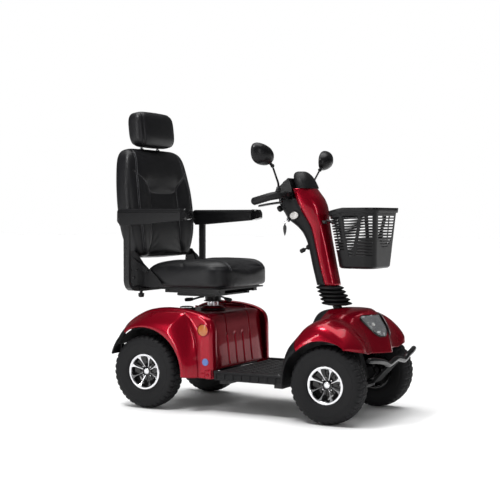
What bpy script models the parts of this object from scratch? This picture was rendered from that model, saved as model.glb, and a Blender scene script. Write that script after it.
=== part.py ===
"""A four-wheel mobility scooter, built as the separate pieces it comes apart into.

Lengths are in metres.  +X is forward, +Y is the rider's left and +Z is up.  X is measured forward of
the rear axle, and the ground is Z = 0.  One empty at the end shifts the whole scooter, so that the
origin lies under the middle of its footprint.
"""

import math

import bmesh
import bpy
from mathutils import Matrix, Vector

# ---------------------------------------------------------------- driving dimensions
ORIGIN_SHIFT = -0.4410      # moves the rear axle so that the origin is mid-length
SIDES = (("right", -1), ("left", 1))
GAP = 0.0005                # clearance left between pieces that touch

WHEELBASE = 0.892
TYRE_RADIUS = 0.165
TYRE_HALF_WIDTH = 0.050
RIM_RADIUS = 0.0822
REAR_HALF_TRACK = 0.270
FRONT_HALF_TRACK = 0.262
AXLE_HEIGHT = TYRE_RADIUS

KINGPIN_Y = 0.212
STEERING_ARM = 0.070
RAKE = math.radians(17)     # the steering column leans back this far
COLUMN_FOOT = Vector((0.813, 0, 0.464))
TILT_PIVOT = Vector((0.802, 0, 0.500))

FRAME_TOP = 0.160
FRAME_BOTTOM = 0.125
POST_X = 0.178              # seat post, measured from the rear axle
POST_RADIUS = 0.0255
DECK_TOP = 0.430
COVER_HALF_WIDTH = 0.2295
SHELL = 0.003               # wall of the plastic covers

FLOOR_START = 0.3425
FLOOR_END = 0.686
FLOOR_HALF_WIDTH = 0.272

RECLINE_PIVOT = Vector((-0.100, 0, 0.655))
BACKREST_LEAN = math.radians(6.2)
ARM_Y = 0.322
ARM_POST_X = -0.078
ARM_BAR_Z = 0.535
ARM_PIVOT = Vector((-0.108, 0, 0.846))

HEAD_X = 0.612              # handlebar clamp in the tiller head
HEAD_Z = 0.955

COLOURS = {
    "red_paint": ((0.42, 0.005, 0.02), 0.25, 0.4),
    "black_plastic": ((0.03, 0.03, 0.032), 0.55, 0.0),
    "black_steel": ((0.02, 0.02, 0.02), 0.4, 0.3),
    "steel": ((0.6, 0.6, 0.6), 0.3, 1.0),
    "rubber": ((0.03, 0.03, 0.03), 0.8, 0.0),
    "leather": ((0.02, 0.02, 0.022), 0.5, 0.0),
    "lens": ((0.8, 0.8, 0.8), 0.1, 0.0),
    "silver": ((0.7, 0.7, 0.7), 0.3, 0.9),
}


# ---------------------------------------------------------------- scene helpers
def clear_scene():
    for obj in list(bpy.data.objects):
        bpy.data.objects.remove(obj, do_unlink=True)


def material(name):
    found = bpy.data.materials.get(name)
    if found:
        return found
    colour, roughness, metallic = COLOURS[name]
    made = bpy.data.materials.new(name)
    made.use_nodes = True
    shader = made.node_tree.nodes["Principled BSDF"]
    shader.inputs["Base Color"].default_value = (*colour, 1)
    shader.inputs["Roughness"].default_value = roughness
    shader.inputs["Metallic"].default_value = metallic
    return made


def add_object(name, bm, colour, smooth=35):
    """Make one closed object from a bmesh whose points are in scooter coordinates."""
    bmesh.ops.remove_doubles(bm, verts=bm.verts, dist=1e-6)
    bmesh.ops.recalc_face_normals(bm, faces=bm.faces)
    mesh = bpy.data.meshes.new(name)
    bm.to_mesh(mesh)
    bm.free()
    mesh.materials.append(material(colour))
    mesh.shade_smooth()
    mesh.set_sharp_from_angle(angle=math.radians(smooth))
    obj = bpy.data.objects.new(name, mesh)
    bpy.context.collection.objects.link(obj)
    return obj


def set_pivot(obj, pivot):
    """Put the object's origin on its joint without moving its shape."""
    obj.data.transform(Matrix.Translation(-Vector(pivot)))
    obj.location = pivot
    return obj


def combine(target, tools, operation):
    """Join to or cut from a piece, then keep only the result."""
    for tool in tools:
        modifier = target.modifiers.new(operation.lower(), "BOOLEAN")
        modifier.operation = operation
        modifier.solver = "EXACT"
        modifier.object = tool
    graph = bpy.context.evaluated_depsgraph_get()
    result = bpy.data.meshes.new_from_object(target.evaluated_get(graph))
    target.modifiers.clear()
    target.data = result
    for tool in tools:
        bpy.data.objects.remove(tool, do_unlink=True)
    target.data.shade_smooth()
    target.data.set_sharp_from_angle(angle=math.radians(35))
    return target


# ---------------------------------------------------------------- shape helpers
def smooth_path(points, steps):
    """A Catmull-Rom curve through the points, with the given steps between each pair."""
    points = [Vector(p) for p in points]
    ends = [2 * points[0] - points[1]] + points + [2 * points[-1] - points[-2]]
    path = []
    for i in range(1, len(ends) - 2):
        before, start, end, after = ends[i - 1:i + 3]
        for k in range(steps):
            t = k / steps
            path.append(0.5 * (2 * start + (end - before) * t
                               + (2 * before - 5 * start + 4 * end - after) * t ** 2
                               + (3 * start - before - 3 * end + after) * t ** 3))
    path.append(points[-1])
    return path


def rings_mesh(rings, closed=False):
    """Bridge rings of points; the first and last ring are capped unless the rings form a loop."""
    bm = bmesh.new()
    loops = [[bm.verts.new(p) for p in ring] for ring in rings]
    pairs = list(zip(loops, loops[1:]))
    if closed:
        pairs.append((loops[-1], loops[0]))
    for low, high in pairs:
        for i in range(len(low)):
            j = (i + 1) % len(low)
            bm.faces.new((low[i], low[j], high[j], high[i]))
    if not closed:
        bm.faces.new(loops[0][::-1])
        bm.faces.new(loops[-1])
    return bm


def sweep(path, section):
    """Sweep a section along a path; section(i) gives (side, up) offsets at path point i."""
    rings = []
    tangent = (path[1] - path[0]).normalized()
    side = tangent.orthogonal().normalized()
    if abs(tangent.y) < 0.9:
        side = (Vector((0, 1, 0)) - tangent * tangent.y).normalized()
    for i, point in enumerate(path):
        ahead = path[min(i + 1, len(path) - 1)]
        behind = path[max(i - 1, 0)]
        tangent = (ahead - behind).normalized()
        side = (side - tangent * side.dot(tangent)).normalized()
        up = tangent.cross(side)
        rings.append([point + side * a + up * b for a, b in section(i)])
    return rings_mesh(rings)


def circle(radius, count):
    turn = 2 * math.pi / count
    return [(radius * math.cos(k * turn), radius * math.sin(k * turn)) for k in range(count)]


def tube(path, radius, count=10):
    """A round rod along a path; radius is one value or one for each path point."""
    path = [Vector(p) for p in path]
    radii = radius if isinstance(radius, (list, tuple)) else [radius] * len(path)
    return sweep(path, lambda i: circle(radii[i], count))


def lathe(profile, centre, axis, count):
    """Turn (radius, distance along the axis) points; a radius of 0 closes the end."""
    axis = Vector(axis).normalized()
    side = Vector((0, 0, -1)) if abs(axis.z) < 0.5 else Vector((1, 0, 0))
    side = (side - axis * side.dot(axis)).normalized()
    other = axis.cross(side)
    centre = Vector(centre)
    bm = bmesh.new()
    rows = []
    for radius, along in profile:
        base = centre + axis * along
        if radius == 0:
            rows.append([bm.verts.new(base)] * count)
        else:
            rows.append([bm.verts.new(base + side * a + other * b) for a, b in circle(radius, count)])
    pairs = list(zip(rows, rows[1:]))
    if profile[0][0] or profile[-1][0]:
        pairs.append((rows[-1], rows[0]))
    for low, high in pairs:
        for i in range(count):
            j = (i + 1) % count
            corners = []
            for vert in (low[i], low[j], high[j], high[i]):
                if vert not in corners:
                    corners.append(vert)
            bm.faces.new(corners)
    return bm


def prism(outline, axis, low, high):
    """Extrude a 2-D outline along X, Y or Z between two values."""
    def place(a, b, c):
        return {"X": (c, a, b), "Y": (a, c, b), "Z": (a, b, c)}[axis]
    return rings_mesh([[Vector(place(a, b, c)) for a, b in outline] for c in (low, high)])


def block(low, high, bevel=0.0, segments=1):
    """A box between two corners, with its edges rounded when a bevel is given."""
    bm = bmesh.new()
    size = Vector(high) - Vector(low)
    bmesh.ops.create_cube(bm, size=1)
    bmesh.ops.scale(bm, vec=size, verts=bm.verts)
    bmesh.ops.translate(bm, vec=(Vector(high) + Vector(low)) / 2, verts=bm.verts)
    if bevel:
        bmesh.ops.bevel(bm, geom=bm.edges[:], offset=bevel, segments=segments, profile=0.5,
                        affect="EDGES")
    return bm


def shell(name, rows, colour, outward, thickness=SHELL):
    """A sheet through a grid of points, thickened away from the outward direction."""
    bm = bmesh.new()
    grid = [[bm.verts.new(p) for p in row] for row in rows]
    for low, high in zip(grid, grid[1:]):
        for i in range(len(low) - 1):
            bm.faces.new((low[i], low[i + 1], high[i + 1], high[i]))
    bm.normal_update()
    facing = sum((face.normal for face in bm.faces), Vector())
    if facing.dot(Vector(outward)) < 0:
        bmesh.ops.reverse_faces(bm, faces=bm.faces)
        bm.normal_update()
    outer = [v for row in grid for v in row]
    inner = {v: bm.verts.new(v.co - v.normal * thickness) for v in outer}
    rim = [edge for edge in bm.edges if edge.is_boundary]
    loops = [(edge.link_loops[0].vert, edge.link_loops[0].link_loop_next.vert) for edge in rim]
    for face in list(bm.faces):
        bm.faces.new([inner[v] for v in reversed(face.verts)])
    for start, end in loops:
        bm.faces.new((end, start, inner[start], inner[end]))
    return add_object(name, bm, colour)


def mirrored(point, side):
    """Move a point given for the left side to the side asked for."""
    return Vector((point[0], point[1] * side, point[2]))


def rounded_plan(x_rear, x_front, half_width, rear_radius, front_radius, count):
    """A plan outline with rounded corners, from the rear right corner round to the front."""
    corners = ((x_rear, -half_width, rear_radius, 180), (x_front, -half_width, front_radius, 270),
               (x_front, half_width, front_radius, 0), (x_rear, half_width, rear_radius, 90))
    outline = []
    for x, y, radius, start in corners:
        centre_x = x + radius if x == x_rear else x - radius
        centre_y = y + radius if y < 0 else y - radius
        for k in range(count):
            angle = math.radians(start + 90 * k / (count - 1))
            outline.append((centre_x + radius * math.cos(angle), centre_y + radius * math.sin(angle)))
    return outline


# ---------------------------------------------------------------- frame and drive
def column_point(distance):
    """A point on the steering axis, measured up along it from the column's foot."""
    return COLUMN_FOOT + Vector((-math.sin(RAKE), 0, math.cos(RAKE))) * distance


COLUMN_AXIS = Vector((-math.sin(RAKE), 0, math.cos(RAKE)))


def make_main_frame():
    """The backbone with its outriggers, axle beam, fork ears, head tube and the seat pedestal."""
    plan = [(-0.060, -0.060), (0.350, -0.060), (0.350, -0.230), (0.390, -0.230), (0.390, -0.060),
            (0.620, -0.060), (0.620, -0.230), (0.660, -0.230), (0.660, -0.060), (0.960, -0.060)]
    plan += [(x, -y) for x, y in reversed(plan)]
    frame = add_object("main_frame", prism(plan, "Z", FRAME_BOTTOM, FRAME_TOP), "black_steel")
    x = WHEELBASE
    beam = add_object("beam", block((x - 0.018, -0.172, 0.126), (x + 0.018, 0.172, 0.196)), "steel")
    joined = [beam]
    pin_holes = []
    for _, side in SIDES:
        for low, high in ((0.112, 0.1245), (0.2055, 0.218)):
            inner, outer = sorted((0.168 * side, 0.230 * side))
            joined.append(add_object("ear", block((x - 0.017, inner, low), (x + 0.017, outer, high)),
                                     "steel"))
        inner, outer = sorted((0.164 * side, 0.1755 * side))
        joined.append(add_object("web", block((x - 0.0165, inner, 0.113), (x + 0.0165, outer, 0.217)),
                                 "steel"))
        pin_holes.append(add_object("hole", lathe([(0, -0.2), (0.0106, -0.2), (0.0106, 0.2), (0, 0.2)],
                                                  (x, KINGPIN_Y * side, 0.165), (0, 0, 1), 16), "steel"))
    head = [(0, -0.150), (0.031, -0.150), (0.031, -0.030), (0, -0.030)]
    joined.append(add_object("head", lathe(head, COLUMN_FOOT, COLUMN_AXIS, 16), "steel"))
    strut = block((0.024, -0.022, -0.330), (0.048, 0.022, -0.032))
    turn = Matrix.Translation(COLUMN_FOOT) @ Matrix.Rotation(-RAKE, 4, "Y")
    bmesh.ops.transform(strut, matrix=turn, verts=strut.verts)
    joined.append(add_object("strut", strut, "steel"))
    pedestal = [(0, 0.150), (0.052, 0.150), (0.052, 0.168), (0.034, 0.168), (0.034, 0.4265),
                (0.0263, 0.4265), (0.0263, 0.172), (0, 0.172)]
    joined.append(add_object("pedestal", lathe(pedestal, (POST_X, 0, 0), (0, 0, 1), 24), "steel"))
    combine(frame, joined, "UNION")
    bore = [(0, -0.170), (0.0225, -0.170), (0.0225, 0.0), (0, 0.0)]
    pin_holes.append(add_object("bore", lathe(bore, COLUMN_FOOT, COLUMN_AXIS, 16), "steel"))
    return combine(frame, pin_holes, "DIFFERENCE")


def make_transaxle():
    """Gearbox, motor and the two axle tubes, whose open ends take the wheel shafts."""
    box = add_object("transaxle", block((-0.055, -0.050, 0.163), (0.058, 0.062, 0.225), 0.008),
                     "black_steel")
    lower = add_object("lower", block((-0.050, -0.045, 0.162 - 0.0005), (0.050, 0.050, 0.166)), "steel")
    tube_profile = [(0, -0.204), (0.029, -0.204), (0.029, 0.204), (0, 0.204)]
    axle = add_object("axle", lathe(tube_profile, (0, 0, AXLE_HEIGHT + 0.0), (0, 1, 0), 16), "steel")
    motor_profile = [(0, 0), (0.046, 0), (0.046, 0.088), (0.038, 0.096), (0, 0.096)]
    motor = add_object("motor", lathe(motor_profile, (-0.050, 0.005, 0.205), (-1, 0, 0), 16), "steel")
    combine(box, [lower, axle, motor], "UNION")
    relief = add_object("relief", block((-0.07, -0.061, 0.10), (0.10, 0.061, FRAME_TOP + GAP)), "steel")
    bores = [relief]
    for _, side in SIDES:
        ends = sorted((0.168 * side, 0.21 * side))
        profile = [(0, ends[0]), (0.0108, ends[0]), (0.0108, ends[1]), (0, ends[1])]
        bores.append(add_object("bore", lathe(profile, (0, 0, AXLE_HEIGHT), (0, 1, 0), 12), "steel"))
    return combine(box, bores, "DIFFERENCE")


def make_battery_pack():
    """Two batteries joined by their front tray, set round the seat pedestal."""
    plan = [(0.070, -0.205), (0.300, -0.205), (0.300, 0.205), (0.070, 0.205), (0.070, 0.058),
            (0.240, 0.058), (0.240, -0.058), (0.070, -0.058)]
    return add_object("battery_pack", prism(plan, "Z", FRAME_TOP + 0.009, 0.335), "black_plastic")


# ---------------------------------------------------------------- wheels
def make_wheels():
    tyre = [(0.0834, -0.041), (0.100, -0.0475), (0.126, -0.050), (0.148, -0.0465), (0.160, -0.036),
            (TYRE_RADIUS, -0.020)]
    tyre += [(r, -t) for r, t in reversed(tyre)]
    rim = [(0, 0.012), (0.020, 0.012), (0.024, 0.006), (0.064, 0.010), (0.067, 0.034), (0.072, 0.039),
           (0.0815, 0.039), (RIM_RADIUS, 0.036), (RIM_RADIUS, -0.040), (0.0735, -0.040),
           (0.0715, -0.004), (0.026, -0.008), (0.024, -0.030), (0.0088, -0.030)]
    places = (("rear", 0.0, REAR_HALF_TRACK, 0.094), ("front", WHEELBASE, FRONT_HALF_TRACK, 0.0715))
    for end, x, track, shaft in places:
        for name, side in SIDES:
            centre = Vector((x, side * track, AXLE_HEIGHT))
            axis = (0, side, 0)
            set_pivot(add_object(f"tyre_{end}_{name}", lathe(tyre, centre, axis, 32), "rubber", 50),
                      centre)
            set_pivot(add_object(f"rim_{end}_{name}", lathe(rim + [(0.0088, -shaft), (0, -shaft)], centre, axis, 20), "silver"), centre)


def make_knuckles():
    """Kingpin, hub and steering arm of each front wheel."""
    for name, side in SIDES:
        centre = Vector((WHEELBASE, KINGPIN_Y * side, AXLE_HEIGHT))
        pin = [(0, -0.0515), (0.0095, -0.0515), (0.0095, 0.0515), (0, 0.0515)]
        knuckle = add_object(f"knuckle_{name}", lathe(pin, centre, (0, 0, 1), 16), "black_steel")
        hub = [(0, 0.188), (0.022, 0.188), (0.022, 0.2312), (0, 0.2312)]
        origin = Vector((WHEELBASE, 0, AXLE_HEIGHT))
        barrel = add_object("barrel", lathe(hub, origin, (0, side, 0), 16), "steel")
        inner, outer = sorted((0.190 * side, 0.2035 * side))
        arm = add_object("arm", block((WHEELBASE - STEERING_ARM - 0.012, inner, 0.187),
                                      (WHEELBASE - 0.019, outer, 0.199)), "steel")
        root = add_object("root", block((WHEELBASE - 0.030, inner, 0.160),
                                        (WHEELBASE - 0.0192, outer, 0.198)), "steel")
        combine(knuckle, [barrel, arm, root], "UNION")
        bore = [(0, 0.1892), (0.0104, 0.1892), (0.0104, 0.24), (0, 0.24)]
        cutter = add_object("bore", lathe(bore, origin, (0, side, 0), 12), "steel")
        set_pivot(combine(knuckle, [cutter], "DIFFERENCE"), centre)


def make_tie_rod():
    """The track rod that links both steering arms, with an eye above each arm's end."""
    x = WHEELBASE - STEERING_ARM
    rod = add_object("tie_rod", tube([(x, -0.192, 0.2065), (x, 0.192, 0.2065)], 0.0055, 8), "steel")
    eyes = []
    for _, side in SIDES:
        eye = [(0, 0.2005), (0.011, 0.2005), (0.011, 0.2125), (0, 0.2125)]
        eyes.append(add_object("eye", lathe(eye, (x, side * 0.192, 0), (0, 0, 1), 10), "steel"))
    return combine(rod, eyes, "UNION")


# ---------------------------------------------------------------- floor and rear body
def make_footboard():
    """A moulded tray with a sill down each side and a shallow recess for the mat."""
    edge, inner, lip = FLOOR_HALF_WIDTH, 0.240, 0.262
    half = [(-edge, 0.147), (-edge, 0.183), (-edge + 0.004, 0.187), (-inner, 0.187), (-inner, 0.174)]
    half_under = [(-lip, 0.147), (-lip, 0.166)]
    outline = half + [(-y, z) for y, z in reversed(half)] + [(-y, z) for y, z in half_under]
    outline += list(reversed(half_under))
    return add_object("footboard", prism(outline, "X", FLOOR_START, FLOOR_END), "black_plastic")


def make_floor_mat():
    return add_object("floor_mat", block((0.3435, -0.2385, 0.1745), (0.6845, 0.2385, 0.1810)), "rubber")


def make_battery_cover():
    """The deck and the upright box in front of the seat, open below; the pedestal passes through."""
    top = [(0.330, 0.186), (0.306, 0.404), (0.300, 0.420), (0.284, DECK_TOP), (0.030, DECK_TOP),
           (-0.030, 0.418), (-0.080, 0.392), (-0.124, 0.356), (-0.130, 0.322)]
    under = [(-0.060, 0.350), (0.170, 0.350), (0.195, 0.335), (0.195, 0.186)]
    width = COVER_HALF_WIDTH
    cover = add_object("battery_cover", prism(top + under, "Y", -width, width), "red_paint")
    inside = [(x - SHELL * 1.05, z - SHELL * 0.3) for x, z in top[:2]]
    inside += [(x - SHELL * 0.7, z - SHELL * 0.8) for x, z in top[2:4]]
    inside += [(x + SHELL * 0.2, z - SHELL) for x, z in top[4:6]]
    inside += [(x + SHELL * 0.7, z - SHELL * 0.9) for x, z in top[6:8]]
    inside += [(-0.1265, 0.30), (-0.1265, 0.17), (inside[0][0], 0.17)]
    void = add_object("void", prism(inside, "Y", -width + SHELL, width - SHELL), "steel")
    hole = [(0, 0.40), (0.040, 0.40), (0.040, 0.45), (0, 0.45)]
    drill = add_object("drill", lathe(hole, (POST_X, 0, 0), (0, 0, 1), 20), "steel")
    return combine(cover, [void, drill], "DIFFERENCE")


# Outer edge of the rear wing seen from the side, from the tail over the top to the sill.
WING_EDGE = [(-0.163, 0.240), (-0.167, 0.272), (-0.163, 0.310), (-0.149, 0.343), (-0.130, 0.370),
             (-0.101, 0.394), (-0.063, 0.417), (-0.016, 0.438), (0.035, 0.450), (0.095, 0.455),
             (0.160, 0.453), (0.225, 0.445), (0.285, 0.429), (0.322, 0.404), (0.335, 0.366),
             (0.337, 0.300), (0.339, 0.222), (0.340, 0.148)]
WING_SPLIT = 5              # the dark flap takes the stations up to this one
ARCH_RADIUS = 0.200


def wing_section(x, z, side):
    """The rear wing's points at one station, from the arch lip out over the flare to the deck."""
    dx, dz = x, z - AXLE_HEIGHT
    reach = math.hypot(dx, dz)
    degrees = math.degrees(math.atan2(dz, dx))
    tail = max(0.0, degrees - 110) / 50
    lip = ARCH_RADIUS - 0.026 * tail
    crease = 0.262 + 0.068 * min(1.0, max(0.0, degrees / 53)) ** 1.3
    flare = min(crease, reach - 0.016) - lip
    flare = max(flare, 0.5 * (reach - lip))
    panel = max(reach - 0.016, lip + flare + 0.001)
    rows = [(lip, 0.3215), (lip + 0.15 * flare, 0.3258), (lip + 0.50 * flare, 0.3150),
            (lip + 0.84 * flare, 0.2920), (lip + flare, 0.2780), (max(panel - 0.010, lip + flare + 0.0005), 0.2715),
            (reach - 0.0075, 0.2640), (reach - 0.0008, 0.2515), (reach, 0.2400), (reach - 0.012, 0.2305)]
    if tail > 0:
        rows = [(min(r, reach), y) for r, y in rows]
        rows[8] = (reach - 0.002, 0.2400)
        rows[9] = (reach - 0.005, 0.2305)
    angle = math.radians(degrees)
    return [Vector((r * math.cos(angle), side * y, AXLE_HEIGHT + r * math.sin(angle))) for r, y in rows]


def make_rear_wings():
    for name, side in SIDES:
        stations = [wing_section(x, z, side) for x, z in WING_EDGE]
        tail = stations[WING_SPLIT - 1]
        next_one = stations[WING_SPLIT]
        before = [a.lerp(b, 0.47) for a, b in zip(tail, next_one)]
        after = [a.lerp(b, 0.53) for a, b in zip(tail, next_one)]
        shell(f"rear_mudflap_{name}", stations[:WING_SPLIT] + [before], "black_plastic", (-1, side, 1))
        shell(f"rear_wing_{name}", [after] + stations[WING_SPLIT:], "red_paint", (0, side, 0.5))


def make_post_collar():
    profile = [(0.0272, 0.4315), (0.056, 0.4315), (0.0575, 0.436), (0.050, 0.444), (0.036, 0.449),
               (0.0272, 0.449)]
    return add_object("post_collar", lathe(profile, (POST_X, 0, 0), (0, 0, 1), 24), "black_plastic")


# ---------------------------------------------------------------- front body
# Side outlines of the front cowl at growing distances from the centre plane, rear edge to nose edge.
COWL_SECTIONS = (
    (0.000, [(0.800, 0.463), (0.835, 0.466), (0.880, 0.468), (0.930, 0.468), (0.968, 0.464),
             (1.004, 0.438), (1.036, 0.388), (1.055, 0.336), (1.067, 0.282)]),
    (0.060, [(0.798, 0.456), (0.832, 0.461), (0.875, 0.464), (0.921, 0.464), (0.956, 0.457),
             (0.985, 0.432), (1.013, 0.386), (1.033, 0.336), (1.046, 0.284)]),
    (0.120, [(0.768, 0.402), (0.804, 0.427), (0.851, 0.445), (0.898, 0.451), (0.934, 0.444),
             (0.962, 0.420), (0.989, 0.380), (1.010, 0.336), (1.025, 0.288)]),
    (0.175, [(0.758, 0.380), (0.795, 0.411), (0.844, 0.432), (0.890, 0.437), (0.928, 0.427),
             (0.961, 0.405), (0.993, 0.371), (1.018, 0.334), (1.032, 0.293)]),
    (0.225, [(0.753, 0.370), (0.790, 0.406), (0.840, 0.431), (0.885, 0.436), (0.928, 0.423),
             (0.969, 0.400), (1.006, 0.366), (1.031, 0.331), (1.038, 0.300)]),
    (0.265, [(0.750, 0.359), (0.786, 0.396), (0.834, 0.422), (0.878, 0.428), (0.921, 0.416),
             (0.962, 0.392), (0.999, 0.359), (1.021, 0.329), (1.025, 0.306)]),
    (0.300, [(0.752, 0.340), (0.786, 0.376), (0.832, 0.402), (0.875, 0.408), (0.916, 0.398),
             (0.954, 0.376), (0.985, 0.349), (1.001, 0.329), (1.003, 0.314)]),
    (0.319, [(0.760, 0.318), (0.790, 0.345), (0.834, 0.368), (0.875, 0.375), (0.914, 0.368),
             (0.947, 0.354), (0.973, 0.338), (0.986, 0.326), (0.988, 0.318)]),
    (0.3235, [(0.768, 0.303), (0.794, 0.322), (0.836, 0.343), (0.875, 0.350), (0.912, 0.349),
              (0.942, 0.343), (0.967, 0.333), (0.981, 0.324), (0.984, 0.317)]),
)
# The dark inner cover behind it, from the floor up to the cowl's rear edge.
INNER_SECTIONS = (
    (0.000, [(0.6900, 0.1625), (0.692, 0.215), (0.697, 0.280), (0.710, 0.345), (0.726, 0.400),
             (0.748, 0.444), (0.7965, 0.462)]),
    (0.060, [(0.6900, 0.1625), (0.692, 0.215), (0.697, 0.280), (0.710, 0.343), (0.724, 0.393),
             (0.744, 0.435), (0.7945, 0.455)]),
    (0.120, [(0.6900, 0.150), (0.692, 0.205), (0.696, 0.255), (0.705, 0.300), (0.720, 0.342),
             (0.740, 0.376), (0.7645, 0.3995)]),
    (0.175, [(0.6900, 0.150), (0.692, 0.202), (0.695, 0.248), (0.704, 0.290), (0.718, 0.328),
             (0.735, 0.358), (0.7550, 0.3765)]),
    (0.225, [(0.6900, 0.150), (0.692, 0.200), (0.695, 0.243), (0.703, 0.282), (0.716, 0.317),
             (0.732, 0.346), (0.7500, 0.3665)]),
    (0.265, [(0.6902, 0.150), (0.692, 0.199), (0.696, 0.240), (0.704, 0.277), (0.716, 0.310),
             (0.731, 0.335), (0.7470, 0.3555)]),
    (0.300, [(0.6905, 0.150), (0.693, 0.197), (0.698, 0.237), (0.706, 0.272), (0.718, 0.302),
             (0.732, 0.322), (0.7485, 0.3365)]),
    (0.319, [(0.6980, 0.150), (0.700, 0.193), (0.705, 0.231), (0.714, 0.262), (0.727, 0.287),
             (0.741, 0.302), (0.7565, 0.3145)]),
    (0.3235, [(0.7030, 0.150), (0.706, 0.190), (0.712, 0.225), (0.722, 0.254), (0.735, 0.274),
              (0.749, 0.288), (0.7640, 0.2995)]),
)


def mirrored_stations(sections):
    """Turn one-sided section lists into rows that run across the scooter, right to left."""
    rows = []
    for y, outline in reversed(sections):
        rows.append([Vector((x, -y, z)) for x, z in outline])
    for y, outline in sections[1:]:
        rows.append([Vector((x, y, z)) for x, z in outline])
    return rows


def column_drill(radius, low, high, count=20):
    profile = [(0, low), (radius, low), (radius, high), (0, high)]
    return add_object("drill", lathe(profile, COLUMN_FOOT, COLUMN_AXIS, count), "steel")


def make_front_cowl():
    cowl = shell("front_cowl", mirrored_stations(COWL_SECTIONS), "red_paint", (0.5, 0, 1))
    return combine(cowl, [column_drill(0.050, -0.06, 0.06)], "DIFFERENCE")


def make_front_inner_cover():
    cover = shell("front_inner_cover", mirrored_stations(INNER_SECTIONS), "black_plastic", (-1, 0, 0.3))
    return combine(cover, [column_drill(0.050, -0.06, 0.06)], "DIFFERENCE")


def cowl_front(y, z):
    """How far forward the cowl's front face lies at a distance from the centre and a height."""
    found = []
    for distance, outline in COWL_SECTIONS:
        falling = outline[4:]
        for (x0, z0), (x1, z1) in zip(falling, falling[1:]):
            if z1 <= z <= z0:
                found.append((distance, x0 + (x1 - x0) * (z0 - z) / (z0 - z1)))
                break
    for (y0, x0), (y1, x1) in zip(found, found[1:]):
        if y0 <= y <= y1:
            return x0 + (x1 - x0) * (y - y0) / (y1 - y0)
    return found[-1][1]


# Each row of a lamp: height, then its nearest and farthest distance from the centre plane.
LAMP_ROWS = ((0.4400, 0.014, 0.100), (0.4240, 0.016, 0.119), (0.4070, 0.018, 0.127), (0.3890, 0.021, 0.128),
             (0.3730, 0.025, 0.113), (0.3580, 0.030, 0.092))


def make_headlights():
    """A lens and bowl lying on the cowl, one each side of the nose ridge."""
    lift = Vector((0.83, 0, 0.56))
    for name, side in SIDES:
        rows = []
        for z, near, far in LAMP_ROWS:
            row = []
            for k in range(5):
                y = near + (far - near) * k / 4
                row.append(Vector((cowl_front(y, z), y * side, z)) + lift * 0.0105)
            rows.append(row)
        shell(f"headlight_{name}", rows, "lens", (1, 0, 0.5), 0.0055)


def make_front_bumper():
    """A bent tube in front of the wheels, carried by a plate from the frame's nose."""
    half = [(0.0, 0.256, 1.0890), (0.045, 0.249, 1.0885), (0.090, 0.242, 1.0875), (0.140, 0.257, 1.0860),
            (0.200, 0.268, 1.0820), (0.262, 0.275, 1.0700)]
    points = [(x, -y, z) for y, z, x in reversed(half)] + [(x, y, z) for y, z, x in half[1:]]
    bumper = add_object("front_bumper", tube(smooth_path(points, 2), 0.011, 8), "black_steel")
    side = [(0.9605, 0.138), (1.0000, 0.150), (1.0860, 0.240), (1.0800, 0.250), (0.9960, 0.163),
            (0.9605, 0.152)]
    plate = add_object("plate", prism(side, "Y", -0.048, 0.048), "steel")
    return combine(bumper, [plate], "UNION")


# ---------------------------------------------------------------- steering
def make_steering_column():
    """The shaft in the head tube, with the drop arm that moves the tie rod."""
    length = (TILT_PIVOT - COLUMN_FOOT).dot(COLUMN_AXIS)
    shaft = [(0, -0.236), (0.0195, -0.236), (0.0195, length - 0.001), (0, length - 0.001)]
    column = add_object("steering_column", lathe(shaft, COLUMN_FOOT, COLUMN_AXIS, 16), "black_steel")
    arm = block((-0.066, -0.012, -0.2355), (-0.010, 0.012, -0.2255))
    turn = Matrix.Translation(COLUMN_FOOT) @ Matrix.Rotation(-RAKE, 4, "Y")
    bmesh.ops.transform(arm, matrix=turn, verts=arm.verts)
    return set_pivot(combine(column, [add_object("arm", arm, "steel")], "UNION"), COLUMN_FOOT)


def make_bellows():
    """A rubber gaiter with five folds between the cowl and the tiller."""
    folds, low, high = 5, 0.4705, 0.5580
    wall = 0.0022
    outside = []
    for k in range(folds):
        for step, depth in ((0.0, 0.0075), (0.3, 0.0), (0.7, 0.0)):
            share = (k + step) / folds
            outside.append((share, 0.0670 - 0.0090 * share - 1.5 * depth))
    outside.append((1.0, 0.0470))
    rings = []
    for share, radius in outside + [(t, r - wall) for t, r in reversed(outside)]:
        x = 0.8135 - 0.0415 * share
        z = low + (high - low) * share
        rings.append([Vector((x + a, b, z)) for a, b in circle(radius, 20)])
    return add_object("bellows", rings_mesh(rings, closed=True), "rubber")


# ---------------------------------------------------------------- tiller
def make_tiller_tube():
    """The upright inside the covers, forked over the head of the steering column."""
    turn = Matrix.Translation(TILT_PIVOT) @ Matrix.Rotation(-RAKE, 4, "Y")
    parts = []
    for name, low, high in (("tiller_tube", (-0.014, -0.018, 0.036), (0.014, 0.018, 0.425)),
                            ("yoke", (-0.0150, -0.030, 0.024), (0.0150, 0.030, 0.038)),
                            ("ear", (-0.013, -0.0295, -0.012), (0.013, -0.0205, 0.034)),
                            ("ear", (-0.013, 0.0205, -0.012), (0.013, 0.0295, 0.034)),
                            ("clamp", (-0.019, -0.034, 0.405), (0.019, 0.034, 0.430))):
        bm = block(low, high)
        bmesh.ops.transform(bm, matrix=turn, verts=bm.verts)
        parts.append(add_object(name, bm, "black_steel"))
    return set_pivot(combine(parts[0], parts[1:], "UNION"), TILT_PIVOT)


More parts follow.
